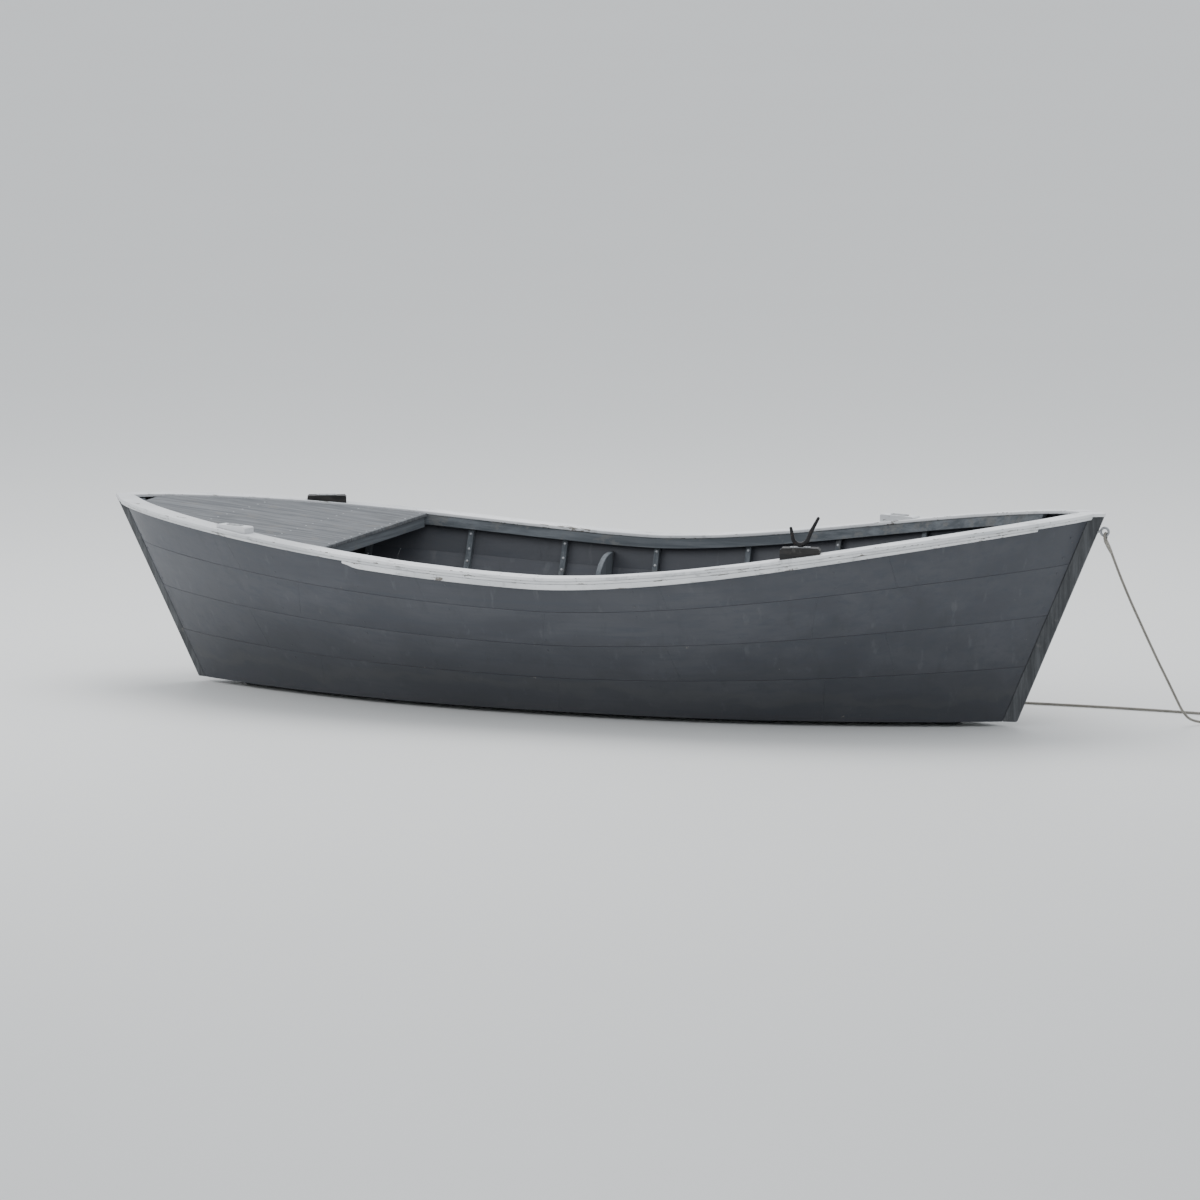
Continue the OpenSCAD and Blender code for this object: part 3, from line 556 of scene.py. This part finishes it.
@made_once
def hull_paint(seed):
    """Worn slate-blue paint: faded in patches, darker towards the bottom as painted shade, chipped at the
    seams.
    """
    m = Shader(f"hull_paint_{seed}", seed)
    z = m.axis("Z")
    slate, faded = (0.053, 0.057, 0.068), (0.078, 0.082, 0.094)
    grain = m.noise(42, GRAIN["X"], detail=6, rough=0.65)
    patches = m.noise(2.6, (0.7, 1, 1.6), detail=5, warp=0.6)
    colour = m.blend(m.level(patches, 0.35, 0.72), slate, faded)
    colour = m.blend(m.level(grain, 0.42, 0.75, 0.0, 0.5), colour, (0.045, 0.054, 0.070))
    runs = m.noise(16, (1, 1, 0.06), detail=5, rough=0.6)
    colour = m.blend(m.level(runs, 0.52, 0.74, 0.0, 0.35), colour, (0.042, 0.046, 0.052))
    pale_runs = m.noise(23, (1, 1, 0.05), detail=4, shift=5.0)
    colour = m.blend(m.level(pale_runs, 0.60, 0.78, 0.0, 0.22), colour, (0.17, 0.18, 0.19))
    # Painted shade: the paint is darkened towards the bottom, under a ragged edge; the same height also
    # places the scum line.
    ragged = m.calc("MULTIPLY", m.noise(7, (0.5, 1, 1), detail=6), 0.22)
    depth = m.calc("ADD", z, ragged)
    colour = m.blend(m.level(depth, 0.62, 0.17, 0.0, 0.50), colour, (0.018, 0.019, 0.022))
    scum = m.calc("MULTIPLY", m.level(depth, 0.200, 0.225), m.level(depth, 0.270, 0.235))
    colour = m.blend(m.calc("MULTIPLY", scum, 0.14), colour, (0.085, 0.086, 0.078))
    chip_noise = m.noise(34, (0.5, 1, 1), detail=8, rough=0.72, shift=2.0)
    edge = m.calc("MULTIPLY", m.worn(), 0.06)
    chips = m.level(m.calc("ADD", chip_noise, edge), 0.700, 0.712)
    colour = m.blend(chips, colour, m.blend(grain, (0.21, 0.20, 0.185), (0.10, 0.098, 0.092)))
    rough = m.level(patches, 0.3, 0.75, 0.42, 0.62)
    rough = m.calc("ADD", rough, m.calc("MULTIPLY", chips, 0.22))
    m.bump(m.noise(11, (0.25, 1, 1), detail=3), 0.006, 0.25)
    m.bump(grain, 0.0012, 0.35)
    m.bump(m.calc("SUBTRACT", 1.0, chips), 0.0007, 0.7)
    return m.finish(colour, rough, specular=0.42)


@made_once
def rail_paint(seed):
    """Off-white paint rubbed through along the edges, with grey timber below."""
    m = Shader(f"rail_paint_{seed}", seed)
    grain = m.noise(60, GRAIN["X"], detail=6, rough=0.62)
    patches = m.noise(5, (0.5, 1, 1), detail=5)
    colour = m.blend(m.level(patches, 0.35, 0.7), (0.78, 0.79, 0.80), (0.60, 0.615, 0.63))
    grime = m.noise(13, (0.6, 1, 0.4), detail=7, rough=0.68, shift=3.0)
    colour = m.blend(m.level(grime, 0.54, 0.74, 0.0, 0.6), colour, (0.25, 0.26, 0.265))
    cracks = m.noise(95, GRAIN["X"], detail=4, shift=7.0)
    colour = m.blend(m.level(cracks, 0.63, 0.70, 0.0, 0.5), colour, (0.17, 0.17, 0.165))
    edge = m.calc("MULTIPLY", m.worn(), 0.13)
    chip_noise = m.noise(26, (0.4, 1, 1), detail=8, rough=0.7, shift=1.0)
    chips = m.level(m.calc("ADD", chip_noise, edge), 0.672, 0.688)
    wood = m.blend(grain, (0.27, 0.25, 0.225), (0.115, 0.108, 0.100))
    colour = m.blend(chips, colour, wood)
    greyer_aft = m.level(m.axis("X"), -0.85, -1.10, 0.0, 0.30)
    colour = m.blend(greyer_aft, colour, (0.24, 0.25, 0.265))
    rough = m.calc("ADD", m.level(patches, 0.3, 0.7, 0.40, 0.58), m.calc("MULTIPLY", chips, 0.25))
    m.bump(grain, 0.0010, 0.35)
    m.bump(m.calc("SUBTRACT", 1.0, chips), 0.0008, 0.8)
    return m.finish(colour, rough, specular=0.45)


@made_once
def weathered(kind, axis, seed):
    """Weathered timber with the last of its grey paint; kind sets how light it is."""
    m = Shader(f"{kind}_{axis}_{seed}", seed)
    light, dark, bare = {
        "inner_wood": ((0.135, 0.150, 0.165), (0.070, 0.080, 0.090), (0.185, 0.180, 0.170)),
        "thwart_wood": ((0.235, 0.240, 0.245), (0.125, 0.128, 0.130), (0.285, 0.270, 0.245)),
        "deck_wood": ((0.150, 0.158, 0.168), (0.088, 0.094, 0.102), (0.185, 0.178, 0.165)),
        "floor_wood": ((0.160, 0.162, 0.165), (0.080, 0.082, 0.085), (0.200, 0.188, 0.168)),
    }[kind]
    rings = m.noise(34, GRAIN[axis], detail=7, rough=0.66, warp=0.35)
    fine = m.noise(210, GRAIN[axis], detail=3, rough=0.5, shift=4.0)
    patches = m.noise(3.6, detail=6, rough=0.6)
    colour = m.blend(m.level(rings, 0.36, 0.66), dark, light)
    colour = m.blend(m.level(fine, 0.50, 0.72, 0.0, 0.55), colour, dark)
    paint_left = m.calc("ADD", m.noise(9, detail=8, rough=0.7, shift=2.0), m.calc("MULTIPLY", m.worn(), 0.10))
    rubbed = m.level(paint_left, 0.56, 0.62)
    colour = m.blend(m.calc("MULTIPLY", rubbed, 0.75), colour, m.blend(fine, bare, dark))
    # Painted shade: the timber is darkened low in the boat, towards its bottom.
    low_painted_shade = m.level(m.calc("ADD", m.axis("Z"), m.calc("MULTIPLY", patches, 0.16)), 0.26, 0.12, 0.0, 0.5)
    colour = m.blend(low_painted_shade, colour, (0.030, 0.032, 0.030))
    colour = m.blend(m.level(patches, 0.52, 0.75, 0.0, 0.4), colour, (0.055, 0.058, 0.060))
    rough = m.level(rings, 0.3, 0.7, 0.86, 0.66)
    m.bump(m.noise(8, GRAIN[axis], detail=2), 0.004, 0.2)
    m.bump(rings, 0.0016, 0.45)
    m.bump(fine, 0.0006, 0.5)
    return m.finish(colour, rough, specular=0.3)


@made_once
def dark_timber(kind, axis, seed):
    """Dark hardwood: the cutwaters, weathered, and the chocks, oiled."""
    m = Shader(f"{kind}_{seed}", seed)
    light, dark = {
        "cutwater_wood": ((0.085, 0.090, 0.096), (0.035, 0.038, 0.042)),
        "chock_wood": ((0.030, 0.027, 0.025), (0.009, 0.009, 0.009)),
        "bottom_paint": ((0.040, 0.045, 0.052), (0.018, 0.020, 0.023)),
    }[kind]
    rings = m.noise(48, GRAIN[axis], detail=7, rough=0.65, warp=0.3)
    patches = m.noise(14, detail=6, rough=0.65)
    colour = m.blend(m.level(rings, 0.35, 0.68), dark, light)
    colour = m.blend(m.level(patches, 0.58, 0.72, 0.0, 0.55), colour, (0.17, 0.165, 0.155))
    m.bump(rings, 0.0014, 0.5)
    m.bump(patches, 0.0008, 0.3)
    return m.finish(colour, m.level(patches, 0.3, 0.7, 0.42, 0.70), specular=0.4)


@made_once
def zinc(seed):
    """Galvanised iron: dull spangles, white bloom and a little rust."""
    m = Shader(f"galvanised_{seed}", seed)
    spangle = m.cells(240)
    bloom = m.noise(70, detail=6, rough=0.65)
    colour = m.blend(spangle, (0.27, 0.28, 0.295), (0.40, 0.41, 0.42))
    colour = m.blend(m.level(bloom, 0.50, 0.68, 0.0, 0.7), colour, (0.46, 0.47, 0.47))
    rust = m.level(m.noise(45, detail=7, rough=0.7, shift=3.0), 0.60, 0.68)
    colour = m.blend(m.calc("MULTIPLY", rust, 0.8), colour, (0.17, 0.085, 0.045))
    metal = m.calc("SUBTRACT", 0.75, m.calc("MULTIPLY", rust, 0.6))
    m.bump(bloom, 0.0004, 0.5)
    return m.finish(colour, m.level(bloom, 0.3, 0.7, 0.42, 0.68), metal)


@made_once
def iron(seed):
    """Dark forged iron, hammered, rubbed brighter where it wears."""
    m = Shader(f"rowlock_iron_{seed}", seed)
    hammer = m.noise(95, detail=2, rough=0.4)
    scale = m.noise(320, detail=6, rough=0.7)
    colour = m.blend(m.level(scale, 0.4, 0.7), (0.016, 0.016, 0.018), (0.048, 0.047, 0.047))
    rust = m.level(m.noise(60, detail=8, rough=0.72, shift=5.0), 0.56, 0.66)
    colour = m.blend(m.calc("MULTIPLY", rust, 0.65), colour, (0.085, 0.040, 0.022))
    rubbed = m.level(m.calc("ADD", m.worn(), m.calc("MULTIPLY", scale, 0.5)), 0.85, 1.15)
    colour = m.blend(rubbed, colour, (0.23, 0.23, 0.235))
    metal = m.calc("SUBTRACT", 0.8, m.calc("MULTIPLY", rust, 0.6))
    m.bump(hammer, 0.0012, 0.5)
    m.bump(scale, 0.0003, 0.5)
    return m.finish(colour, m.level(scale, 0.3, 0.7, 0.40, 0.66), metal)


@made_once
def rubber(seed):
    m = Shader(f"bung_rubber_{seed}", seed)
    dust = m.noise(160, detail=6, rough=0.65)
    colour = m.blend(m.level(dust, 0.42, 0.75), (0.013, 0.013, 0.014), (0.075, 0.073, 0.068))
    m.bump(dust, 0.0004, 0.5)
    return m.finish(colour, m.level(dust, 0.3, 0.7, 0.55, 0.85), specular=0.35)


@made_once
def rope_fibre(seed):
    """Laid natural rope: grey-beige fibres, with painted shade in the grooves between the strands."""
    m = Shader(f"rope_{seed}", seed)
    fibre = m.noise(900, (1, 1, 0.35), detail=4, rough=0.6)
    tone = m.noise(30, detail=5)
    # Painted shade: the grooves between the strands are darkened; on rope pieces the wear attribute holds how
    # deep in a groove each point is.
    groove_shade = m.worn()
    colour = m.blend(m.level(fibre, 0.35, 0.68), (0.235, 0.220, 0.190), (0.455, 0.435, 0.390))
    colour = m.blend(m.level(tone, 0.4, 0.72, 0.0, 0.5), colour, (0.19, 0.185, 0.165))
    colour = m.blend(m.level(groove_shade, 0.25, 1.0, 0.0, 0.78), colour, (0.060, 0.056, 0.048))
    m.bump(fibre, 0.0005, 0.8)
    return m.finish(colour, m.level(fibre, 0.3, 0.7, 0.95, 0.80), specular=0.2, sheen=0.25)


def dress(obj, material):
    obj.data.materials.clear()
    obj.data.materials.append(material)
    return obj


for piece in (painter, knot, splice):
    dress(piece, rope_fibre(1))

# ---- planking


def fair(s, t, k):
    """A long shallow unevenness of a hand-planed plank, under half a millimetre."""
    return 0.00045 * math.sin(9.1 * s + 21 * t) * math.sin(23.7 * s + 2.3 * k)


def strake_ring(k, where):
    """One section of a plank: a faired outer face, a flat inner one, and eased edges."""
    t0, t1 = STRAKE_EDGES[k - 1], STRAKE_EDGES[k]
    seam, easing = 0.0003, 0.0010
    ring, wear = [], []
    height = (sheer_z(where(0.5)) - SHOE_T) * (t1 - t0)
    low_cut = 0.0 if k == 1 else seam / height
    high_cut = 0.0 if k == 4 else seam / height
    soft = easing / height
    # How far in from an edge, as a share of the easing; how far under the face, the same; how worn
    eased = [(0.0, 1.0, 1.0), (0.35, 0.35, 0.9), (1.0, 0.0, 0.55)]
    shares = [(low_cut + soft * off, easing * depth, worn) for off, depth, worn in eased]
    shares += [(share, 0.0, 0.0) for share in (0.1, 0.25, 0.5, 0.75, 0.9)]
    shares += [(1 - high_cut - soft * off, easing * depth, worn) for off, depth, worn in reversed(eased)]
    for share, depth, worn in shares:
        s, t = where(share), mix(t0, t1, share)
        ring.append(inside(s, t, depth + fair(s, t, k)))
        wear.append(worn)
    for share in (1 - high_cut, low_cut):
        s = where(share)
        ring.append(mix(inside(s, t0, PLANK_T), inside(s, t1, PLANK_T), share))
        wear.append(0.0)
    return ring, wear


for k in range(1, 5):
    planks = Shells()
    joints = ODD_JOINTS if k % 2 else EVEN_JOINTS
    lengths(planks, joints, lambda where, k=k: strake_ring(k, where), tilt=0.02 * (1 if k % 2 else -1))
    for side, is_starboard in (("port", False), ("starboard", True)):
        plank = planks.build(f"plank_{side}_{k}", starboard=is_starboard)
        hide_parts(f"strake_{side}_{k}")
        dress(plank, hull_paint(k + 4 * is_starboard))

# ---- rails


def outside_ring(s, drop0, drop1, radius):
    t0, t1 = below_top(s, drop0), below_top(s, drop1)
    out = -BED - OUTWALE_W
    corners = [inboard(s, t1, -BED), inboard(s, t0, -BED), inboard(s, t0, out), inboard(s, t1, out)]
    return rounded(corners, radius)


def rub_depth(s):
    return RUB_H * mix(1, 0.35, max(0.0, s) ** 2)


def rub_ring(s):
    """The rubbing strip; its aft end dies away in a worn taper."""
    taper = mix(0.45, 1.0, ease((s - RUB_JOINTS[0]) / 0.035))
    top = OUTWALE_H + BED
    return outside_ring(s, top, top + rub_depth(s) * taper, 0.005)


PLANK_LEVEL = outer(0, 0.9)[1] - inside(0, 0.9, PLANK_T)[1]
INWALE_OFF = PLANK_LEVEL + SKIN_GAP + FRAME_HEAD + 0.003
CAP_INNER = INWALE_OFF + INWALE_W + 0.002
CAP_OUTER = BED + OUTWALE_W + CAP_LIP


def inwale_ring(s):
    t = below_top(s, INWALE_H)
    return rounded([
        inboard(s, t, INWALE_OFF + INWALE_W), inboard(s, 1, INWALE_OFF + INWALE_W),
        inboard(s, 1, INWALE_OFF), inboard(s, t, INWALE_OFF)
    ], 0.003)


def raised(p, height):
    return p + np.array([0, 0, height])


def cap_ring(s):
    n = inward(s, 1)
    level = unit(np.array([n[0], n[1], 0]))
    reach = min(CAP_INNER, (outer(s, 1)[1] - BED / 2) / abs(level[1]))
    out, into = inboard(s, 1, -CAP_OUTER), inboard(s, 1, reach)
    sag = 0.0004 * math.sin(31 * s) * math.sin(7 * s)
    return rounded([
        raised(into, BED), raised(into, BED + CAP_T + sag), raised(out, BED + CAP_T + sag), raised(out, BED)
    ], 0.004)


RAILS = [
    ("outwale", RAIL_JOINTS, lambda s: outside_ring(s, 0, OUTWALE_H, 0.003), "rail_paint"),
    ("rubbing_strip", RUB_JOINTS, rub_ring, "rail_paint"),
    ("inwale", INWALE_JOINTS, inwale_ring, "inner_wood"),
    ("cap_rail", RAIL_JOINTS, cap_ring, "rail_paint"),
]
for number, (rail, joints, ring_at, slot_name) in enumerate(RAILS):
    shells = Shells()
    lengths(shells, joints, lambda where, ring_at=ring_at: ring_at(where(0.5)))
    for side, is_starboard in (("port", False), ("starboard", True)):
        piece = shells.build(f"{rail}_run_{side}", starboard=is_starboard)
        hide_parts(f"{rail}_{side}")
        seed = 11 + 2 * number + is_starboard
        dress(piece, rail_paint(seed) if slot_name == "rail_paint" else weathered("inner_wood", "X", seed))

# ---- the CAD pieces that keep their shape: eased edges and their material


EASED_ANGLE = 0.6   # edges sharper than this, in radians, are eased


def keep_node(name, material, easing):
    obj = NODES[name]
    mesh = obj.data
    if "custom_normal" in mesh.attributes:
        mesh.attributes.remove(mesh.attributes["custom_normal"])
    mesh.polygons.foreach_set("use_smooth", [True] * len(mesh.polygons))
    weld = obj.modifiers.new("weld", "WELD")
    weld.merge_threshold = 0.00001
    bevel = obj.modifiers.new("eased_edges", "BEVEL")
    bevel.width = easing
    bevel.segments = 2
    bevel.limit_method = "ANGLE"
    bevel.angle_limit = EASED_ANGLE
    bevel.use_clamp_overlap = True
    bevel.harden_normals = False
    normals = obj.modifiers.new("normals", "WEIGHTED_NORMAL")
    normals.keep_sharp = True
    dress(obj, material)


for i in range(1, 6):
    keep_node(f"bottom_plank_{i}", dark_timber("bottom_paint", "X", i), 0.002)
keep_node("keel_shoe", dark_timber("bottom_paint", "X", 7), 0.003)
keep_node("bottom_runners", dark_timber("bottom_paint", "X", 8), 0.003)
for end in ("bow", "stern"):
    keep_node(f"cutwater_{end}", dark_timber("cutwater_wood", "Z", 21), 0.003)
    keep_node(f"stem_{end}", weathered("inner_wood", "Z", 22), 0.003)
    keep_node(f"breasthook_{end}", weathered("inner_wood", "Y", 23), 0.003)
for i in range(1, 8):
    keep_node(f"frame_{i}", weathered("inner_wood", "Z", 30 + i), 0.003)
for side in ("port", "starboard"):
    keep_node(f"riser_{side}", weathered("inner_wood", "X", 40 + len(side)), 0.003)
for i in range(1, 4):
    keep_node(f"thwart_{i}", weathered("thwart_wood", "Y", 50 + i), 0.004)
keep_node("thwart_knees", weathered("inner_wood", "Z", 55), 0.003)
keep_node("deck_beams", weathered("inner_wood", "Y", 56), 0.002)
keep_node("stern_deck", weathered("deck_wood", "X", 57), 0.002)
keep_node("floorboards", weathered("floor_wood", "X", 58), 0.002)
keep_node("stem_caps", rail_paint(60), 0.003)
for name in ("rowlock_pad_bow_port", "rowlock_pad_stern_starboard"):
    keep_node(name, rail_paint(61), 0.003)
for name in ("rowlock_pad_bow_starboard", "rowlock_pad_stern_port"):
    keep_node(name, dark_timber("chock_wood", "X", 62), 0.003)
keep_node("rowlock_sockets", zinc(1), 0.0008)
keep_node("mooring_eye", zinc(2), 0.0008)
keep_node("socket_screws", zinc(3), 0.0004)
keep_node("drain_bung", rubber(1), 0.0012)

# ---- rowlock: a forged crutch swept along its own line, with its collar and shank


def lathe_rings(profile, sides=32):
    """Rings about the z axis for (radius, height) pairs."""
    return [
        [
            np.array([r * math.cos(2 * math.pi * j / sides), r * math.sin(2 * math.pi * j / sides), z])
            for j in range(sides)
        ]
        for r, z in profile
    ]


def tube_rings(line, radii, across, sides=20):
    """Rings about a line in the plane square to across."""
    rings = []
    turns = [2 * math.pi * j / sides for j in range(sides)]
    for i, p in enumerate(line):
        along = unit(line[min(i + 1, len(line) - 1)] - line[max(i - 1, 0)])
        up = np.cross(across, along)
        rings.append([p + radii[i] * (math.cos(a) * across + math.sin(a) * up) for a in turns])
    return rings


def make_rowlock():
    bar_r, crutch_r, horn_fore, horn_aft = 0.008, 0.031, 0.084, 0.034
    middle_z = bar_r + crutch_r - 0.003 + 0.004
    fore, aft = math.radians(28), math.radians(12)
    corners = [
        (crutch_r + horn_fore * math.sin(fore), middle_z + horn_fore * math.cos(fore)),
        (crutch_r + 0.6 * horn_fore * math.sin(fore), middle_z + 0.6 * horn_fore * math.cos(fore)),
        (crutch_r + 0.25 * horn_fore * math.sin(fore), middle_z + 0.25 * horn_fore * math.cos(fore)),
    ]
    corners += [
        (crutch_r * math.cos(a), middle_z - crutch_r * math.sin(a))
        for a in np.linspace(0.25, math.pi - 0.2, 10)
    ]
    corners += [
        (-crutch_r - 0.4 * horn_aft * math.sin(aft), middle_z + 0.4 * horn_aft * math.cos(aft)),
        (-crutch_r - horn_aft * math.sin(aft), middle_z + horn_aft * math.cos(aft)),
    ]
    line = smooth_line([np.array([x, 0.0, z]) for x, z in corners], 0.0022)
    count = len(line) - 1
    radii = []
    for i in range(len(line)):
        k = i / count
        thick = bar_r * (1 + 0.22 * math.exp(-((k - 0.56) / 0.12) ** 2))
        tip = min(k / 0.30, (1 - k) / 0.22, 1.0)
        radii.append(thick * mix(0.78, 1.0, ease(tip)))
    across = np.array([0.0, 1.0, 0.0])
    rings = tube_rings(line, radii, across)
    for end, next_in in ((0, 1), (-1, -2)):
        tip, r = line[end], radii[end]
        out = unit(tip - line[next_in])
        domes = []
        for a in (0.35, 0.75, 1.1, 1.4):
            domes.append([
                tip + out * r * math.sin(a) + (p - tip) * math.cos(a) for p in rings[end]
            ])
        rings = domes[::-1] + rings if end == 0 else rings + domes
    shells = Shells()
    shells.loft(rings, [[mix(0.80, 0.20, min(abs(p[1]) / bar_r, 1)) for p in ring] for ring in rings])
    shank = [
        (0.0045, -0.057), (0.0064, -0.0555), (0.0064, -0.001), (0.0108, 0.0), (0.0120, 0.0012),
        (0.0120, 0.0048), (0.0108, 0.0060), (0.0086, 0.0075), (0.0078, 0.0100), (0.0060, 0.0125),
    ]
    shells.loft(lathe_rings(shank))
    s = share_at(BOW_LOCK_X)
    base = inboard(s, 1, LOCK_OFF)
    ahead = outer(s + 0.02, 1) - outer(s - 0.02, 1)
    angle = math.atan2(ahead[1], ahead[0])
    top = sheer_z(s) + BED + CAP_T + BOW_CHOCK_H + PLATE_T + 0.0001
    cos, sin = math.cos(angle), math.sin(angle)
    turn = np.array([[cos, -sin, 0], [sin, cos, 0], [0, 0, 1]])
    shells.points = [turn @ p + np.array([base[0], base[1], top]) for p in shells.points]
    rowlock = shells.build("rowlock_forged", body="rowlock", starboard=True)
    rowlock.modifiers.clear()
    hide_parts("rowlock")
    dress(rowlock, iron(1))


make_rowlock()

# ---- fastenings


def tree_of(*names):
    """A search tree over CAD nodes' meshes."""
    points, faces = [], []
    for name in names:
        mesh = NODES[name].data
        start = len(points)
        points.extend(v.co.copy() for v in mesh.vertices)
        faces.extend([start + v for v in p.vertices] for p in mesh.polygons)
    return BVHTree.FromPolygons(points, faces)


def seen_from(tree, origin, direction, reach=2.0):
    """The first point of the tree's meshes along a ray, with its normal, or None."""
    point, normal, _, _ = tree.ray_cast(Vector(origin), Vector(direction), reach)
    if point is None:
        return None
    normal = np.array(normal)
    return np.array(point), normal if normal.dot(direction) < 0 else -normal


def add_head(shells, point, normal, radius, height, slotted, turn=0.0):
    """One nail head or rove as a low dome, or one screw head with its slot."""
    side = unit(np.cross(normal, [0.3, 0.9, 0.31]))
    up = np.cross(normal, side)
    side, up = math.cos(turn) * side + math.sin(turn) * up, math.cos(turn) * up - math.sin(turn) * side
    if slotted:
        for half in (0, math.pi):
            arc = [half + math.asin(0.13) + a for a in np.linspace(0, math.pi - 2 * math.asin(0.13), 9)]
            flat = [radius * (math.cos(a) * side + math.sin(a) * up) for a in arc]
            shells.loft([[point + p + normal * h for p in flat] for h in (-0.001, height * 0.75)] + [
                [point + p * 0.93 + normal * height for p in flat]
            ])
        height *= 0.35
    profile = [
        (1.0, -0.001), (1.0, height * 0.35), (0.82, height * 0.8), (0.45, height), (0.12, height * 1.02)
    ]
    circle = [math.cos(a) * side + math.sin(a) * up for a in np.linspace(0, 2 * math.pi, 14, endpoint=False)]
    shells.loft(
        [[point + radius * share * p + normal * h for p in circle] for share, h in profile],
        [[0.9] * 14 for _ in profile]
    )


def fastenings(name, spots, radius, height, material, slotted=False):
    shells = Shells()
    for i, (point, normal) in enumerate(spots):
        add_head(shells, point, normal, radius, height, slotted, turn=1.7 * i)
    piece = shells.build(name)
    piece.modifiers.clear()
    dress(piece, material)


def nail_level(k, share):
    """The t of plank k's nails; those that would sit behind the outwale move down."""
    t = mix(STRAKE_EDGES[k - 1], STRAKE_EDGES[k], share)
    return t if t <= 0.93 else TOP_NAIL_SHARE


def plank_nails():
    """Two nails through each plank at each frame, and two at each stem."""
    spots = []
    for k in range(1, 5):
        for share in NAIL_SHARES:
            t = nail_level(k, share)
            where = [share_at(x, t) for x in FRAME_XS] + [-0.992, 0.992]
            spots += [(outer(s, t), -inward(s, t)) for s in where]
    return spots


def other_side(spots):
    flip = np.array([1, -1, 1])
    return [(point * flip, normal * flip) for point, normal in spots]


def both_sides(spots):
    return spots + other_side(spots)


nails = plank_nails()
fastenings("plank_nails_port", nails, 0.0042, 0.0006, hull_paint(3))
fastenings("plank_nails_starboard", other_side(nails), 0.0042, 0.0006, hull_paint(7))


def strip_screws():
    """Screws through the rubbing strip, midway between the frames."""
    spots = []
    for x in [-0.8 + 0.2 * i for i in range(14)]:
        s = share_at(x)
        t = below_top(s, OUTWALE_H + BED + rub_depth(s) / 2)
        spots.append((inboard(s, t, -BED - OUTWALE_W), -unit(inward(s, t) * np.array([1, 1, 0]))))
    return spots


def cap_plugs():
    """Wooden plugs over the screws that hold the cap rail down on the planking."""
    spots = []
    for i in range(21):
        s = mix(-0.93, 0.93, i / 20)
        x = outer(s, 1)[0]
        if min(abs(x - BOW_LOCK_X), abs(x - STERN_LOCK_X)) < 0.12:
            continue
        spots.append((raised(inboard(s, 1, 0.016), BED + CAP_T), np.array([0.0, 0.0, 1.0])))
    return spots


fastenings("strip_screws", both_sides(strip_screws()), 0.0036, 0.0005, rail_paint(70))
fastenings("cap_plugs", both_sides(cap_plugs()), 0.0055, 0.0004, rail_paint(71))

DOWN = np.array([0.0, 0.0, -1.0])


def deck_screws():
    tree = tree_of("stern_deck")
    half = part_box("stern_deck")[1].y
    pitch = 2 * half / DECK_PLANKS
    spots = []
    for x in (-0.997, -1.232, -1.580):
        for plank in range(DECK_PLANKS):
            for share in (0.22, 0.78):
                y = (plank - DECK_PLANKS / 2 + share) * pitch
                hit = seen_from(tree, (x, y, 1.0), DOWN)
                rail_inner = inboard(share_at(x), 1, CAP_INNER)[1]
                if hit and abs(y) < rail_inner - 0.012:
                    spots.append(hit)
    return spots


def board_screws():
    tree = tree_of("floorboards")
    spots = []
    for x in FRAME_XS[1:]:
        for board in range(-2, 3):
            for off in (-0.032, 0.032):
                hit = seen_from(tree, (x, board * FLOORBOARD_PITCH + off, 0.3), DOWN)
                if hit:
                    spots.append(hit)
    return spots


def thwart_screws():
    tree = tree_of("thwart_1", "thwart_2", "thwart_3")
    spots = []
    for i, x in enumerate(THWART_XS):
        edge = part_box(f"thwart_{i + 1}")[1].y
        for off in (-0.07, 0.07):
            for y in (edge - 0.075, 0.075 - edge):
                hit = seen_from(tree, (x + off, y, 0.6), DOWN)
                if hit:
                    spots.append(hit)
    return spots


def frame_roves():
    """Roves on the inner face of each frame, where the plank nails come through."""
    spots = []
    for i, x in enumerate(FRAME_XS):
        tree = tree_of(f"frame_{i + 1}")
        for k in range(1, 5):
            for share in NAIL_SHARES:
                t = nail_level(k, share)
                z = outer(share_at(x, t), t)[2]
                if z < 0.10:
                    continue
                hit = seen_from(tree, (x, 0.0, z), (0.0, 1.0, 0.0))
                if hit and abs(hit[1][1]) > 0.5:
                    spots.append(hit)
    return both_sides(spots)


fastenings("deck_screws", deck_screws(), 0.0042, 0.0007, zinc(4), slotted=True)
fastenings("board_screws", board_screws(), 0.0042, 0.0007, zinc(4), slotted=True)
fastenings("thwart_screws", thwart_screws(), 0.0048, 0.0008, zinc(4), slotted=True)
fastenings("frame_roves", frame_roves(), 0.0058, 0.0016, zinc(5))

# ---- floor and light


def make_floor():
    size = 160.0
    corners = [(-size, -size, 0), (size, -size, 0), (size, size, 0), (-size, size, 0)]
    mesh = bpy.data.meshes.new("floor")
    mesh.from_pydata(corners, [], [(0, 1, 2, 3)])
    floor = bpy.data.objects.new("floor", mesh)
    floor.location.z = FLOOR_Z - 0.0005
    bpy.context.scene.collection.objects.link(floor)
    m = Shader("floor_pale")
    tone = m.noise(0.6, detail=3)
    colour = m.blend(tone, (0.735, 0.742, 0.732), (0.760, 0.766, 0.756))
    floor.data.materials.append(m.finish(colour, 0.55, specular=0.3))


def add_light(name, place, aim, size, power, colour=(1, 1, 1)):
    data = bpy.data.lights.new(name, "AREA")
    data.shape = "DISK"
    data.size = size
    data.energy = power
    data.color = colour
    light = bpy.data.objects.new(name, data)
    light.location = place
    light.rotation_mode = "QUATERNION"
    light.rotation_quaternion = (Vector(aim) - Vector(place)).to_track_quat("-Z", "Y")
    bpy.context.scene.collection.objects.link(light)


def make_light():
    world = bpy.data.worlds.new("world")
    bpy.context.scene.world = world
    world.use_nodes = True
    background = world.node_tree.nodes["Background"]
    background.inputs["Color"].default_value = (0.93, 0.96, 1.0, 1.0)
    background.inputs["Strength"].default_value = 1.10
    add_light("overhead", (-1.0, 2.0, 7.0), (0, 0, 0.4), 6.0, 420)
    add_light("left", (-7.0, -4.0, 3.5), (0, 0, 0.4), 5.0, 200)


make_floor()
make_light()
